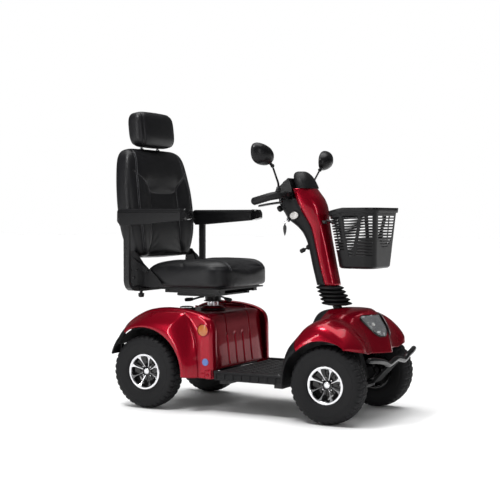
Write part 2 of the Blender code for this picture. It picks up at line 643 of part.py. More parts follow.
# Level slices of the tiller: height, rear face, seam between the covers, front face, half width.
TILLER_SLICES = (
    (0.562, 0.7200, 0.7700, 0.8230, 0.0450),
    (0.650, 0.6980, 0.7456, 0.8040, 0.0470),
    (0.730, 0.6800, 0.7274, 0.7876, 0.0490),
    (0.780, 0.6590, 0.7170, 0.7770, 0.0520),
    (0.815, 0.6290, 0.7080, 0.7705, 0.0560),
    (0.850, 0.5820, 0.6910, 0.7640, 0.0640),
    (0.880, 0.5620, 0.6740, 0.7608, 0.0700),
    (0.910, 0.5420, 0.6600, 0.7540, 0.0745),
    (0.940, 0.5340, 0.6465, 0.7400, 0.0760),
    (0.965, 0.5340, 0.6370, 0.7200, 0.0755),
    (0.986, 0.5340, 0.6290, 0.7030, 0.0740),
)
COVER_STEPS = 8             # points round each half of the tiller
REAR_COVER_TOP = 0.940


def half_round(seam, face, half_width, steps):
    """Points of a half superellipse in plan, from the right edge round the face to the left edge."""
    points = []
    for k in range(steps + 1):
        angle = math.pi * k / steps
        across = math.copysign(abs(math.cos(angle)) ** 0.80, -math.cos(angle))
        out = math.sin(angle) ** 0.72
        points.append((seam + (face - seam) * out, half_width * across))
    return points


def make_tiller_covers():
    rear_rows, front_rows = [], []
    for height, rear, seam, front, width in TILLER_SLICES:
        front_rows.append([Vector((x, y, height))
                           for x, y in half_round(seam + 0.0006, front, width, COVER_STEPS)])
        if height <= REAR_COVER_TOP:
            rear_rows.append([Vector((x, y, height))
                              for x, y in half_round(seam - 0.0006, rear, width, COVER_STEPS)])
    set_pivot(shell("tiller_front_cover", front_rows, "red_paint", (1, 0, 0), 0.0025), TILT_PIVOT)
    set_pivot(shell("tiller_rear_cover", rear_rows, "black_plastic", (-1, 0, 0), 0.0025), TILT_PIVOT)


def make_tiller_cap():
    """The domed top, open below."""
    slices = ((0.9875, 0.6300, 0.7030, 0.0735), (1.0120, 0.6200, 0.6930, 0.0700),
              (1.0350, 0.6120, 0.6810, 0.0600), (1.0530, 0.6080, 0.6680, 0.0440),
              (1.0620, 0.6120, 0.6550, 0.0270))
    outer = []
    for height, rear, front, width in slices:
        ring = rounded_plan(rear, front, width, (front - rear) * 0.30, (front - rear) * 0.48, 4)
        outer.append([Vector((x, y, height)) for x, y in ring])
    inner = []
    for ring in outer[:-1]:
        middle = sum(ring, Vector()) / len(ring)
        inner.append([middle.lerp(p, 0.93) - Vector((0, 0, 0 if ring is outer[0] else 0.002))
                      for p in ring])
    return set_pivot(add_object("tiller_cap", rings_mesh(list(reversed(inner)) + outer), "black_plastic"),
                     TILT_PIVOT)


CONSOLE_SLOPE = math.atan2(0.047, 0.055)
CONSOLE_NORMAL = Vector((-math.sin(CONSOLE_SLOPE), 0, math.cos(CONSOLE_SLOPE)))
DIAL_CENTRE = Vector((0.5775, -0.034, 1.0085))
BUTTON_CENTRE = Vector((0.5775, 0.034, 1.0085))


def make_console():
    """The instrument head: a sloped face towards the rider and a channel below for the handlebar."""
    side = [(0.5350, 0.9415), (0.5350, 0.9650), (0.5500, 0.9850), (0.6050, 1.0320), (0.6075, 1.0320),
            (0.6240, 0.9860), (0.6285, 0.9410)]
    console = add_object("console", prism(side, "Y", -0.0745, 0.0745), "black_plastic")
    channel = add_object("channel", block((HEAD_X - 0.013, -0.09, 0.93), (HEAD_X + 0.013, 0.09, 0.9685)),
                         "steel")
    pocket_profile = [(0, -0.008), (0.0105, -0.008), (0.0105, 0.02), (0, 0.02)]
    pocket = add_object("pocket", lathe(pocket_profile, BUTTON_CENTRE, CONSOLE_NORMAL, 12), "steel")
    return set_pivot(combine(console, [channel, pocket], "DIFFERENCE"), TILT_PIVOT)


def make_handlebar():
    """One bar across the head whose ends sweep back into grips."""
    half = [(HEAD_X, 0.0, HEAD_Z), (HEAD_X, 0.050, HEAD_Z), (HEAD_X, 0.100, HEAD_Z + 0.001),
            (0.604, 0.146, 0.9555), (0.573, 0.170, 0.950), (0.528, 0.174, 0.9385), (0.478, 0.167, 0.927)]
    left = smooth_path(half, 2)
    path = [Vector((p.x, -p.y, p.z)) for p in reversed(left)] + left[1:]
    radii = []
    for point in path:
        reach = abs(point.y) + (HEAD_X - point.x)
        radii.append(0.0105 if reach < 0.09 else 0.0145 if reach < 0.17 else 0.0175)
    radii[0] = radii[-1] = 0.011
    return set_pivot(add_object("handlebar", tube(path, radii, 10), "black_plastic"), TILT_PIVOT)


def make_throttle_levers():
    """A finger lever under each grip, turning on a pin below the handlebar."""
    for name, side in SIDES:
        plan = [(0.602, 0.112), (0.590, 0.100), (0.572, 0.108), (0.545, 0.126), (0.506, 0.134),
                (0.500, 0.152), (0.508, 0.160), (0.545, 0.158), (0.578, 0.140), (0.600, 0.124)]
        outline = [(x, y * side) for x, y in plan]
        bm = prism(outline, "Z", 0.0, 0.008)
        for vert in bm.verts:
            vert.co.z += 0.9240 - (HEAD_X - vert.co.x) * 0.175
        lever = add_object(f"throttle_lever_{name}", bm, "black_plastic")
        set_pivot(lever, (0.590, 0.112 * side, 0.929))


def make_speed_dial():
    profile = [(0, 0.0006), (0.015, 0.0006), (0.0135, 0.012), (0, 0.012)]
    return set_pivot(add_object("speed_dial", lathe(profile, DIAL_CENTRE, CONSOLE_NORMAL, 16),
                                "black_plastic"), DIAL_CENTRE)


def make_horn_button():
    profile = [(0, -0.0050), (0.0092, -0.0050), (0.0092, 0.0032), (0.0080, 0.0040), (0, 0.0040)]
    return set_pivot(add_object("horn_button", lathe(profile, BUTTON_CENTRE, CONSOLE_NORMAL, 12),
                                "black_plastic"), BUTTON_CENTRE)


KEY_ROOT = Vector((0.5862, -0.0297, 0.8490))
KEY_AXIS = Vector((-0.94, 0, -0.34)).normalized()


def make_ignition_key():
    stem = add_object("ignition_key", lathe([(0, 0.0012), (0.0032, 0.0012), (0.0032, 0.014), (0, 0.014)],
                                            KEY_ROOT, KEY_AXIS, 8), "steel")
    bow = add_object("bow", lathe([(0, -0.0012), (0.0085, -0.0012), (0.0085, 0.0012), (0, 0.0012)],
                                  KEY_ROOT + KEY_AXIS * 0.0210, (0, 1, 0), 10), "steel")
    return set_pivot(combine(stem, [bow], "UNION"), KEY_ROOT)


def make_key_fob():
    """A tag that hangs from the key's eye."""
    hook = KEY_ROOT + KEY_AXIS * 0.0210
    fob = block((-0.0045, 0.0020, -0.066), (0.0045, 0.0042, 0.003), 0.0009)
    bmesh.ops.translate(fob, vec=hook, verts=fob.verts)
    return set_pivot(add_object("key_fob", fob, "steel"), hook)


TILT_LEVER_ROOT = Vector((0.6855, -0.026, 0.7280))


def make_tilt_lever():
    path = [TILT_LEVER_ROOT + Vector((-0.0035, 0, -0.001)), TILT_LEVER_ROOT + Vector((-0.018, 0, -0.008)),
            TILT_LEVER_ROOT + Vector((-0.022, 0, -0.011)), TILT_LEVER_ROOT + Vector((-0.038, 0, -0.019)),
            TILT_LEVER_ROOT + Vector((-0.041, 0, -0.020))]
    radii = [0.004, 0.004, 0.0085, 0.0095, 0.005]
    return set_pivot(add_object("tilt_lever", tube(path, radii, 8), "black_plastic"), TILT_LEVER_ROOT)


MIRROR_TOE = math.radians(10)   # each mirror faces this far in towards the rider


def make_mirrors():
    """A stem clamped to the handlebar's corner, and the mirror head on its ball."""
    for name, side in SIDES:
        base = mirrored((0.6000, 0.1540, 0.9715), side)
        path = [base, base + Vector((0, 0, 0.020)), mirrored((0.6060, 0.1680, 1.008), side),
                mirrored((0.6130, 0.2280, 1.0700), side)]
        stem = add_object(f"mirror_stem_{name}", tube(path, [0.0095, 0.0095, 0.0045, 0.0045], 8),
                          "black_steel")
        set_pivot(stem, base)
        ball = mirrored((0.6140, 0.2360, 1.0785), side)
        centre = mirrored((0.6030, 0.3080, 1.1245), side)
        head = lathe([(0, 0.040), (0.018, 0.038), (0.034, 0.030), (0.045, 0.017), (0.0505, 0.002),
                      (0.051, -0.006), (0.048, -0.010), (0, -0.010)], (0, 0, 0), (1, 0, 0), 16)
        for vert in head.verts:
            across = vert.co.y * side * 1.24
            vert.co.z = vert.co.z * 0.82 + across * 0.14
            vert.co.y = across * side
        bmesh.ops.transform(head, matrix=Matrix.Translation(centre) @ Matrix.Rotation(MIRROR_TOE * side, 4, "Z"),
                            verts=head.verts)
        housing = add_object(f"mirror_head_{name}", head, "black_plastic")
        knob = lathe([(0, -0.008), (0.006, -0.006), (0.008, 0.0), (0.006, 0.006), (0, 0.008)], ball,
                     (0, 0, 1), 8)
        neck = tube([ball, ball.lerp(centre, 0.45)], 0.0065, 8)
        combine(housing, [add_object("knob", knob, "steel"), add_object("neck", neck, "steel")], "UNION")
        set_pivot(housing, ball)


# ---------------------------------------------------------------- basket
def basket_ring(height, inset):
    """The basket's plan at a height: wide at the rim, rounded towards the tiller."""
    share = (height - 0.640) / 0.260
    rear = 0.846 - 0.034 * share
    front = 1.026 + 0.017 * share
    width = 0.110 + 0.036 * share
    plan = rounded_plan(rear + inset, front - inset, width - inset, 0.072 - inset, 0.042 - inset, 5)
    return [Vector((x, y, height - max(0, 0.90 - x) * 0.20 * share)) for x, y in plan]


def make_basket():
    wall = 0.003
    outer = [basket_ring(0.640, 0.006), basket_ring(0.648, 0), basket_ring(0.760, 0),
             basket_ring(0.880, 0), basket_ring(0.880, -0.006), basket_ring(0.900, -0.007)]
    inner = [basket_ring(0.900, wall - 0.006), basket_ring(0.880, wall), basket_ring(0.645, wall + 0.003)]
    return set_pivot(add_object("basket", rings_mesh(outer + inner), "black_plastic"),
                     (0.80, 0, 0.70))


# ---------------------------------------------------------------- seat
def make_seat_post():
    profile = [(0, 0.205), (POST_RADIUS, 0.205), (POST_RADIUS, 0.4985), (0, 0.4985)]
    return set_pivot(add_object("seat_post", lathe(profile, (POST_X, 0, 0), (0, 0, 1), 24), "steel"),
                     (POST_X, 0, 0.45))


def make_seat_base():
    """The swivel plate with its socket over the post, and two runners for the fore-aft slide."""
    socket = [(0, 0.474), (0.036, 0.474), (0.040, 0.505), (0, 0.505)]
    base = add_object("seat_base", lathe(socket, (POST_X, 0, 0), (0, 0, 1), 24), "black_steel")
    parts = [add_object("plate", block((POST_X - 0.085, -0.165, 0.5025), (POST_X + 0.095, 0.165, 0.5095)),
                        "steel")]
    for _, side in SIDES:
        inner, outer = sorted((0.140 * side, 0.160 * side))
        parts.append(add_object("runner", block((POST_X - 0.095, inner, 0.5035),
                                                (POST_X + 0.105, outer, 0.5145)), "steel"))
    combine(base, parts, "UNION")
    bore = add_object("bore", lathe([(0, 0.46), (0.0263, 0.46), (0.0263, 0.4993), (0, 0.4993)],
                                    (POST_X, 0, 0), (0, 0, 1), 24), "steel")
    return set_pivot(combine(base, [bore], "DIFFERENCE"), (POST_X, 0, 0.50))


def make_seat_pan():
    """Seat plate with slide channels below, the hollow cross tube for the armrests and hinge plates."""
    pan = add_object("seat_pan", block((-0.060, -0.200, 0.5320), (0.335, 0.200, 0.5385)), "black_steel")
    parts = []
    for _, side in SIDES:
        inner, outer = sorted((0.135 * side, 0.165 * side))
        parts.append(add_object("channel", block((0.020, inner, 0.5155), (0.320, outer, 0.5330)), "steel"))
        inner, outer = sorted((0.2405 * side, 0.2470 * side))
        side_view = [(-0.128, 0.5230), (-0.060, 0.5230), (-0.060, 0.610), (-0.076, 0.672), (-0.088, 0.684),
                     (-0.112, 0.684), (-0.124, 0.672), (-0.128, 0.640)]
        parts.append(add_object("plate", prism(side_view, "Y", inner, outer), "steel"))
    parts.append(add_object("cross", block((ARM_POST_X - 0.019, -0.2440, ARM_BAR_Z - 0.0130),
                                           (ARM_POST_X + 0.019, 0.2440, ARM_BAR_Z + 0.0130)), "steel"))
    combine(pan, parts, "UNION")
    bore = add_object("bore", block((ARM_POST_X - 0.0158, -0.26, ARM_BAR_Z - 0.0098),
                                    (ARM_POST_X + 0.0158, 0.26, ARM_BAR_Z + 0.0098)), "steel")
    return set_pivot(combine(pan, [bore], "DIFFERENCE"), (POST_X, 0, 0.53))


def make_seat_cushion():
    """A padded block, crowned along its middle and thinner at the back."""
    rings = []
    for height, inset in ((0.540, 0.018), (0.548, 0.005), (0.566, 0.0), (0.614, 0.0), (0.636, 0.006),
                          (0.650, 0.020), (0.658, 0.044), (0.662, 0.090)):
        plan = rounded_plan(-0.046 + inset, 0.378 - inset, 0.243 - inset, 0.048, 0.072, 5)
        ring = []
        for x, y in plan:
            across, along = y / 0.243, (x - 0.17) / 0.22
            lift = max(0.0, height - 0.60) / 0.062
            rise = 0.009 * (1 - across ** 2) - 0.010 * max(0.0, -along)
            ring.append(Vector((x - 0.010 * across ** 2 * max(0.0, along), y, height + rise * lift)))
        rings.append(ring)
    return set_pivot(add_object("seat_cushion", rings_mesh(rings), "leather", 60), (POST_X, 0, 0.54))


def lean_back(points):
    """Lean points that are given for an upright backrest, about the recline pivot."""
    turn = (Matrix.Translation(RECLINE_PIVOT) @ Matrix.Rotation(-BACKREST_LEAN, 4, "Y")
            @ Matrix.Translation(-RECLINE_PIVOT))
    return [turn @ Vector(p) for p in points]


# Level slices of the upright backrest: height above the pivot, half width, front and rear offsets.
BACKREST_SLICES = ((0.018, 0.188, 0.014, -0.046), (0.030, 0.210, 0.028, -0.057), (0.085, 0.234, 0.0400, -0.063),
                   (0.150, 0.259, 0.0460, -0.065), (0.245, 0.268, 0.0470, -0.066), (0.330, 0.263, 0.0450, -0.066),
                   (0.400, 0.253, 0.0410, -0.066), (0.465, 0.238, 0.0360, -0.065), (0.503, 0.220, 0.0270, -0.061),
                   (0.523, 0.198, 0.0130, -0.053), (0.531, 0.166, -0.0020, -0.040))


def make_backrest():
    rings = []
    for height, width, front, rear in BACKREST_SLICES:
        x, z = RECLINE_PIVOT.x, RECLINE_PIVOT.z + height
        radius = 0.30 * (front - rear)
        plan = rounded_plan(x + rear, x + front, width, radius, radius, 4)
        rings.append(lean_back([(px, py, z) for px, py in plan]))
    backrest = add_object("backrest", rings_mesh(rings), "leather", 60)
    spine = block((-0.112, -0.2385, 0.637), (-0.088, 0.2385, 0.700))
    for vert in spine.verts:
        vert.co = lean_back([vert.co])[0]
    combine(backrest, [add_object("frame", spine, "steel")], "UNION")
    bores = []
    for _, side in SIDES:
        bore = lathe([(0, 0), (0.0068, 0), (0.0068, 0.18), (0, 0.18)],
                     lean_back([(-0.118, 0.068 * side, 1.060)])[0],
                     (-math.sin(BACKREST_LEAN), 0, math.cos(BACKREST_LEAN)), 10)
        bores.append(add_object("bore", bore, "steel"))
    return set_pivot(combine(backrest, bores, "DIFFERENCE"), RECLINE_PIVOT)


def make_headrest():
    rings = []
    slices = ((0.5345, 0.106, 0.030), (0.546, 0.130, 0.044), (0.590, 0.144, 0.0510), (0.660, 0.144, 0.0510),
              (0.697, 0.130, 0.043), (0.709, 0.104, 0.028))
    for height, width, depth in slices:
        x, z = RECLINE_PIVOT.x + 0.004, RECLINE_PIVOT.z + height
        plan = rounded_plan(x - depth, x + depth, width, depth * 0.6, depth * 0.6, 4)
        rings.append(lean_back([(px, py, z) for px, py in plan]))
    headrest = add_object("headrest", rings_mesh(rings), "leather", 60)
    posts = []
    for _, side in SIDES:
        path = lean_back([(-0.118, 0.068 * side, 1.072), (-0.118, 0.068 * side, 1.215)])
        posts.append(add_object("post", tube(path, 0.0058, 10), "steel"))
    return set_pivot(combine(headrest, posts, "UNION"), lean_back([(-0.118, 0, 1.19)])[0])


def make_armrests():
    """A flat bar bent under the seat carries each armrest, which hinges at its rear end."""
    half_x, half_y = 0.0145, 0.0088
    for name, side in SIDES:
        bend = 0.040
        y = 0.325
        path = [Vector((ARM_POST_X, side * y, 0.8360)), Vector((ARM_POST_X, side * y, 0.700)),
                Vector((ARM_POST_X, side * y, ARM_BAR_Z + bend))]
        for k in (1, 2, 3):
            angle = math.radians(90 * k / 4)
            path.append(Vector((ARM_POST_X, side * (y - bend + bend * math.cos(angle)),
                                ARM_BAR_Z + bend - bend * math.sin(angle))))
        path += [Vector((ARM_POST_X, side * (y - bend), ARM_BAR_Z)), Vector((ARM_POST_X, side * 0.110, ARM_BAR_Z))]
        corners = [(half_y, half_x), (-half_y, half_x), (-half_y, -half_x), (half_y, -half_x)]
        frame = add_object(f"armrest_frame_{name}", sweep(path, lambda i: corners), "black_steel", 30)
        lug = [(-0.116, 0.8220), (-0.070, 0.8220), (-0.0640, 0.8340), (-0.116, 0.8340)]
        inner, outer = sorted((0.3165 * side, 0.3335 * side))
        combine(frame, [add_object("lug", prism(lug, "Y", inner, outer), "steel")], "UNION")
        set_pivot(frame, (ARM_POST_X, side * y, ARM_BAR_Z))
        side_view = [(-0.118, 0.8460), (-0.114, 0.8370), (-0.040, 0.8370), (0.225, 0.8450), (0.249, 0.8520),
                     (0.256, 0.8640), (0.256, 0.8880), (0.248, 0.8965), (-0.108, 0.8965), (-0.118, 0.8860)]
        inner, outer = sorted(((ARM_Y - 0.028) * side, (ARM_Y + 0.028) * side))
        armrest = add_object(f"armrest_{name}", prism(side_view, "Y", inner, outer), "black_plastic")
        set_pivot(armrest, (ARM_PIVOT.x, ARM_Y * side, ARM_PIVOT.z))


def make_seat_levers():
    """The swivel, slide and recline levers, each with its own pivot."""
    pivot = Vector((POST_X - 0.020, -0.050, 0.4930))
    path = [pivot, pivot + Vector((-0.012, -0.020, -0.003)), pivot + Vector((-0.030, -0.040, -0.010)),
            pivot + Vector((-0.036, -0.046, -0.011)), pivot + Vector((-0.060, -0.060, -0.013))]
    swivel = add_object("swivel_lever", tube(path, [0.0045, 0.0045, 0.0045, 0.0075, 0.0065], 8),
                        "black_steel")
    set_pivot(swivel, pivot)
    path = [Vector((0.2620, -0.070, 0.4978)), Vector((0.2850, -0.086, 0.4960)),
            Vector((0.3120, -0.105, 0.4900)), Vector((0.3380, -0.112, 0.4880))]
    slide = add_object("slide_lever", tube(path, [0.004, 0.004, 0.0045, 0.0070], 8), "black_steel")
    set_pivot(slide, path[0])
    side_view = [(-0.112, 0.664), (-0.104, 0.674), (-0.092, 0.672), (-0.016, 0.624), (-0.014, 0.612),
                 (-0.026, 0.608), (-0.108, 0.646)]
    recline = add_object("recline_lever", prism(side_view, "Y", -0.2580, -0.2480), "black_plastic")
    set_pivot(recline, (RECLINE_PIVOT.x, -0.253, 0.660))


# ---------------------------------------------------------------- assembly
def parent_everything():
    """Shift the scooter so that the origin lies under the middle of its footprint."""
    root = bpy.data.objects.new("scooter_origin", None)
    bpy.context.collection.objects.link(root)
    root.location = (ORIGIN_SHIFT, 0, 0)
    for obj in bpy.data.objects:
        if obj is not root:
            obj.parent = root


def main():
    clear_scene()
    make_main_frame()
    make_transaxle()
    make_battery_pack()
    make_wheels()
    make_knuckles()
    make_tie_rod()
    make_footboard()
    make_floor_mat()
    make_battery_cover()
    make_rear_wings()
    make_post_collar()
    make_front_cowl()
    make_front_inner_cover()
    make_headlights()
    make_front_bumper()
    make_steering_column()
    make_bellows()
    make_tiller_tube()
    make_tiller_covers()
    make_tiller_cap()
    make_console()
    make_handlebar()
    make_throttle_levers()
    make_speed_dial()
    make_horn_button()
    make_ignition_key()
    make_key_fob()
    make_tilt_lever()
    make_mirrors()
    make_basket()
    make_seat_post()
    make_seat_base()
    make_seat_pan()
    make_seat_cushion()
    make_backrest()
    make_headrest()
    make_armrests()
    make_seat_levers()
    parent_everything()


main()
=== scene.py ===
"""Visual model of the mobility scooter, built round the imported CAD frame.

Shapes are written in metres forward of the rear axle, to the rider's left and up from the ground,
and SHIFT moves them into the frame's own coordinates.
"""

import math

import bmesh
import bpy
import numpy as np
from mathutils import Matrix, Vector
from mathutils.bvhtree import BVHTree


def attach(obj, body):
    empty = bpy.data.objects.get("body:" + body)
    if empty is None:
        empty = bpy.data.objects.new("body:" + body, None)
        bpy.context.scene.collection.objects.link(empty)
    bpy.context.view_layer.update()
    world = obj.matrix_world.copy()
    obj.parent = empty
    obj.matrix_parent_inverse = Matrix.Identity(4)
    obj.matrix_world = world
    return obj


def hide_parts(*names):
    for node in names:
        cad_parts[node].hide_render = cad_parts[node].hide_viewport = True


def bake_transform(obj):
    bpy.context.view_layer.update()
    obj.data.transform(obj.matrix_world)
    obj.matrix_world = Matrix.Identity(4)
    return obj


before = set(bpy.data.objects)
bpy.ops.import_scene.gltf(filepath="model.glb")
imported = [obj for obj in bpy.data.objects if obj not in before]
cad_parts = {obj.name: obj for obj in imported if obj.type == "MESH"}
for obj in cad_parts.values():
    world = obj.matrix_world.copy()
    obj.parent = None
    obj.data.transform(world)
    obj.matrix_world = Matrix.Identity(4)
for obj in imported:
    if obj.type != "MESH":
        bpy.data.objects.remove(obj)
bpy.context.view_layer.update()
SHIFT = Vector((-0.4410, 0, 0))
SIDES = (("right", -1), ("left", 1))
WHEELBASE, AXLE_Z = 0.892, 0.165
TRACKS = {"rear": (0.0, 0.270), "front": (WHEELBASE, 0.262)}
RAKE = math.radians(17)
COLUMN_FOOT = np.array((0.813, 0, 0.464))
COLUMN_AXIS = np.array((-math.sin(RAKE), 0, math.cos(RAKE)))


# ---------------------------------------------------------------- materials
def material(name, colour, rough, spread=0.10, patch=25.0, rough_spread=0.05, bumps=(), wear=0.0, **sockets):
    """A Principled material whose colour and roughness drift, with stacked bump layers."""
    made = bpy.data.materials.new(name)
    made.use_nodes = True
    nodes, links = made.node_tree.nodes, made.node_tree.links
    shader = nodes["Principled BSDF"]
    coords = nodes.new("ShaderNodeTexCoord").outputs["Object"]
    drift = nodes.new("ShaderNodeTexNoise")
    drift.inputs["Scale"].default_value = patch
    drift.inputs["Detail"].default_value = 5
    links.new(coords, drift.inputs["Vector"])
    mix = nodes.new("ShaderNodeMix")
    mix.data_type = "RGBA"
    mix.inputs[6].default_value = (*[c * (1 - spread) for c in colour], 1)
    mix.inputs[7].default_value = (*[min(1, c * (1 + spread)) for c in colour], 1)
    links.new(drift.outputs["Fac"], mix.inputs[0])
    out = mix.outputs[2]
    if wear:
        edges = nodes.new("ShaderNodeNewGeometry")
        ramp = nodes.new("ShaderNodeMapRange")
        ramp.inputs["From Min"].default_value = 0.52
        ramp.inputs["From Max"].default_value = 0.62
        ramp.inputs["To Max"].default_value = wear
        links.new(edges.outputs["Pointiness"], ramp.inputs["Value"])
        worn = nodes.new("ShaderNodeMix")
        worn.data_type = "RGBA"
        worn.inputs[7].default_value = (*[min(1, c * 3 + 0.02) for c in colour], 1)
        links.new(ramp.outputs["Result"], worn.inputs[0])
        links.new(out, worn.inputs[6])
        out = worn.outputs[2]
    links.new(out, shader.inputs["Base Color"])
    gloss = nodes.new("ShaderNodeMapRange")
    gloss.inputs["To Min"].default_value = max(0.0, rough - rough_spread)
    gloss.inputs["To Max"].default_value = rough + rough_spread
    links.new(drift.outputs["Fac"], gloss.inputs["Value"])
    links.new(gloss.outputs["Result"], shader.inputs["Roughness"])
    normal = None
    for kind, scale, strength, distance in bumps:
        if kind == "cells":
            texture = nodes.new("ShaderNodeTexVoronoi")
            texture.feature = "DISTANCE_TO_EDGE"
            height = texture.outputs["Distance"]
        elif kind == "spots":
            texture = nodes.new("ShaderNodeTexVoronoi")
            height = texture.outputs["Distance"]
        else:
            texture = nodes.new("ShaderNodeTexNoise")
            texture.inputs["Detail"].default_value = 3
            height = texture.outputs["Fac"]
        texture.inputs["Scale"].default_value = scale
        links.new(coords, texture.inputs["Vector"])
        bump = nodes.new("ShaderNodeBump")
        bump.inputs["Strength"].default_value = strength
        bump.inputs["Distance"].default_value = distance
        links.new(height, bump.inputs["Height"])
        if normal:
            links.new(normal, bump.inputs["Normal"])
        normal = bump.outputs["Normal"]
    if normal:
        links.new(normal, shader.inputs["Normal"])
    for socket, value in sockets.items():
        shader.inputs[socket.replace("_", " ")].default_value = value
    return made


RED = material("red_lacquer", (0.250, 0.0003, 0.0105), 0.26, 0.20, 900, 0.05,
               (("noise", 130, 0.03, 0.0003),), Metallic=0.62, Coat_Weight=0.40, Coat_Roughness=0.02,
               Specular_IOR_Level=0.12)
BLACK_GRAIN = material("black_grained_plastic", (0.0066, 0.0066, 0.0074), 0.46, 0.2, 60, 0.08,
                       (("cells", 900, 0.25, 0.0004), ("noise", 60, 0.1, 0.0006)), 0.25, Specular_IOR_Level=0.18)
BLACK_SATIN = material("black_satin_plastic", (0.0050, 0.0050, 0.0056), 0.34, 0.15, 40, 0.06,
                       (("noise", 700, 0.08, 0.0003),), 0.15, Specular_IOR_Level=0.20)
BLACK_GLOSS = material("black_gloss", (0.0040, 0.0040, 0.0045), 0.14, 0.2, 30, 0.05, Coat_Weight=0.3,
                       Specular_IOR_Level=0.3)
BLACK_STEEL = material("black_powder_coat", (0.0060, 0.0060, 0.0065), 0.32, 0.2, 70, 0.08,
                       (("noise", 1200, 0.15, 0.0003),), 0.35, Specular_IOR_Level=0.22)
INSIDE = material("unpainted_inside", (0.0050, 0.0050, 0.0055), 0.75, 0.2, 50, 0.08,
                  (("noise", 500, 0.2, 0.0004),), Specular_IOR_Level=0.25)
RUBBER = material("soft_rubber", (0.0062, 0.0062, 0.0068), 0.50, 0.2, 45, 0.07, (("noise", 900, 0.2, 0.0003),),
                  Specular_IOR_Level=0.22)
TYRE = material("tyre_rubber", (0.0062, 0.0062, 0.0070), 0.60, 0.22, 35, 0.08,
                (("noise", 650, 0.25, 0.0004), ("noise", 60, 0.1, 0.0008)), 0.3, Specular_IOR_Level=0.22)
LEATHER = material("black_leather", (0.0056, 0.0056, 0.0066), 0.37, 0.18, 22, 0.07,
                   (("cells", 620, 0.35, 0.0006), ("noise", 90, 0.15, 0.0010)), 0.1, Specular_IOR_Level=0.26)
THREAD = material("seat_thread", (0.10, 0.10, 0.108), 0.6, 0.2, 300, 0.05, (("noise", 2500, 0.4, 0.0003),))
ALLOY = material("machined_alloy", (0.70, 0.70, 0.72), 0.24, 0.05, 150, 0.06, (("noise", 800, 0.05, 0.0002),),
                 Metallic=0.97)
STEEL = material("bright_steel", (0.46, 0.46, 0.48), 0.24, 0.08, 120, 0.06, (("noise", 600, 0.06, 0.0002),),
                 Metallic=1.0)
CHROME = material("lamp_chrome", (0.80, 0.81, 0.83), 0.14, 0.25, 150, 0.03, (("spots", 120, 0.6, 0.0030),),
                  Metallic=0.86)
MIRROR = material("mirror_glass", (0.86, 0.87, 0.88), 0.02, 0.02, 10, 0.01, Metallic=1.0)
GLASS = material("lamp_glass_clear", (0.96, 0.97, 0.98), 0.02, 0.02, 20, 0.01, Transmission_Weight=1.0,
                 IOR=1.35, Specular_IOR_Level=0.5)
AMBER = material("amber_lens", (0.40, 0.105, 0.003), 0.16, 0.15, 120, 0.05, (("cells", 260, 0.7, 0.0012),),
                 Coat_Weight=0.6)
WHITE_LENS = material("white_lens", (0.62, 0.60, 0.58), 0.15, 0.1, 90, 0.05, (("cells", 300, 0.6, 0.0010),),
                      Coat_Weight=0.6)
BADGE = material("plain_badge", (0.05, 0.12, 0.38), 0.25, 0.3, 90, 0.05, Coat_Weight=0.5)
PRINT = material("pale_print", (0.45, 0.45, 0.46), 0.45, 0.1, 80, 0.05)
SCREEN = material("display_glass", (0.03, 0.045, 0.04), 0.08, 0.15, 60, 0.03, Coat_Weight=0.8)


# ---------------------------------------------------------------- mesh helpers
def spline(points, count):
    """Resample along the first axis with a Catmull-Rom curve."""
    points = np.asarray(points, float)
    n = len(points)
    ends = np.concatenate([2 * points[:1] - points[1:2], points, 2 * points[-1:] - points[-2:-1]])
    out = []
    for t in np.linspace(0, n - 1, count):
        i = min(int(t), n - 2)
        f = t - i
        a, b, c, d = ends[i:i + 4]
        out.append(0.5 * (2 * b + (c - a) * f + (2 * a - 5 * b + 4 * c - d) * f ** 2
                          + (3 * b - a - 3 * c + d) * f ** 3))
    return np.array(out)


def refine(grid, rows, columns):
    grid = spline(grid, rows)
    return np.swapaxes(spline(np.swapaxes(grid, 0, 1), columns), 0, 1)


def grid_mesh(grid, closed_rows=False, closed_columns=False, caps=False, skip=None):
    """Vertices and faces of a grid; skip(i, j) leaves a cell out."""
    grid = np.asarray(grid, float)
    n, m = grid.shape[:2]
    faces = []
    for i in range(n if closed_rows else n - 1):
        for j in range(m if closed_columns else m - 1):
            if skip and skip(i, j):
                continue
            a, b = (i + 1) % n, (j + 1) % m
            faces.append((i * m + j, a * m + j, a * m + b, i * m + b))
    if caps:
        faces.append(tuple(range(m)))
        faces.append(tuple(range((n - 1) * m, n * m))[::-1])
    return grid.reshape(-1, 3), faces


def piece(name, mesh_data, materials, body, replaces=(), smooth=40, recalc=True):
    """Turn vertices and faces into a piece that rides on a body."""
    if isinstance(mesh_data, bmesh.types.BMesh):
        bm = mesh_data
    else:
        verts, faces = mesh_data
        bm = bmesh.new()
        made = [bm.verts.new(v) for v in verts]
        for face in faces:
            corners = list(dict.fromkeys(face))
            if len(corners) > 2:
                bm.faces.new([made[k] for k in corners])
        bmesh.ops.remove_doubles(bm, verts=bm.verts, dist=1e-6)
        loose = [v for v in bm.verts if not v.link_faces]
        bmesh.ops.delete(bm, geom=loose, context="VERTS")
    if recalc:
        bmesh.ops.recalc_face_normals(bm, faces=bm.faces)
    bmesh.ops.translate(bm, vec=SHIFT, verts=bm.verts)
    mesh = bpy.data.meshes.new(name)
    bm.to_mesh(mesh)
    bm.free()
    for mat in materials if isinstance(materials, (list, tuple)) else [materials]:
        mesh.materials.append(mat)
    mesh.shade_smooth()
    mesh.set_sharp_from_angle(angle=math.radians(smooth))
    obj = bpy.data.objects.new(name, mesh)
    bpy.context.scene.collection.objects.link(obj)
    if body:
        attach(obj, body)
    if replaces:
        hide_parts(*([replaces] if isinstance(replaces, str) else replaces))
    return obj


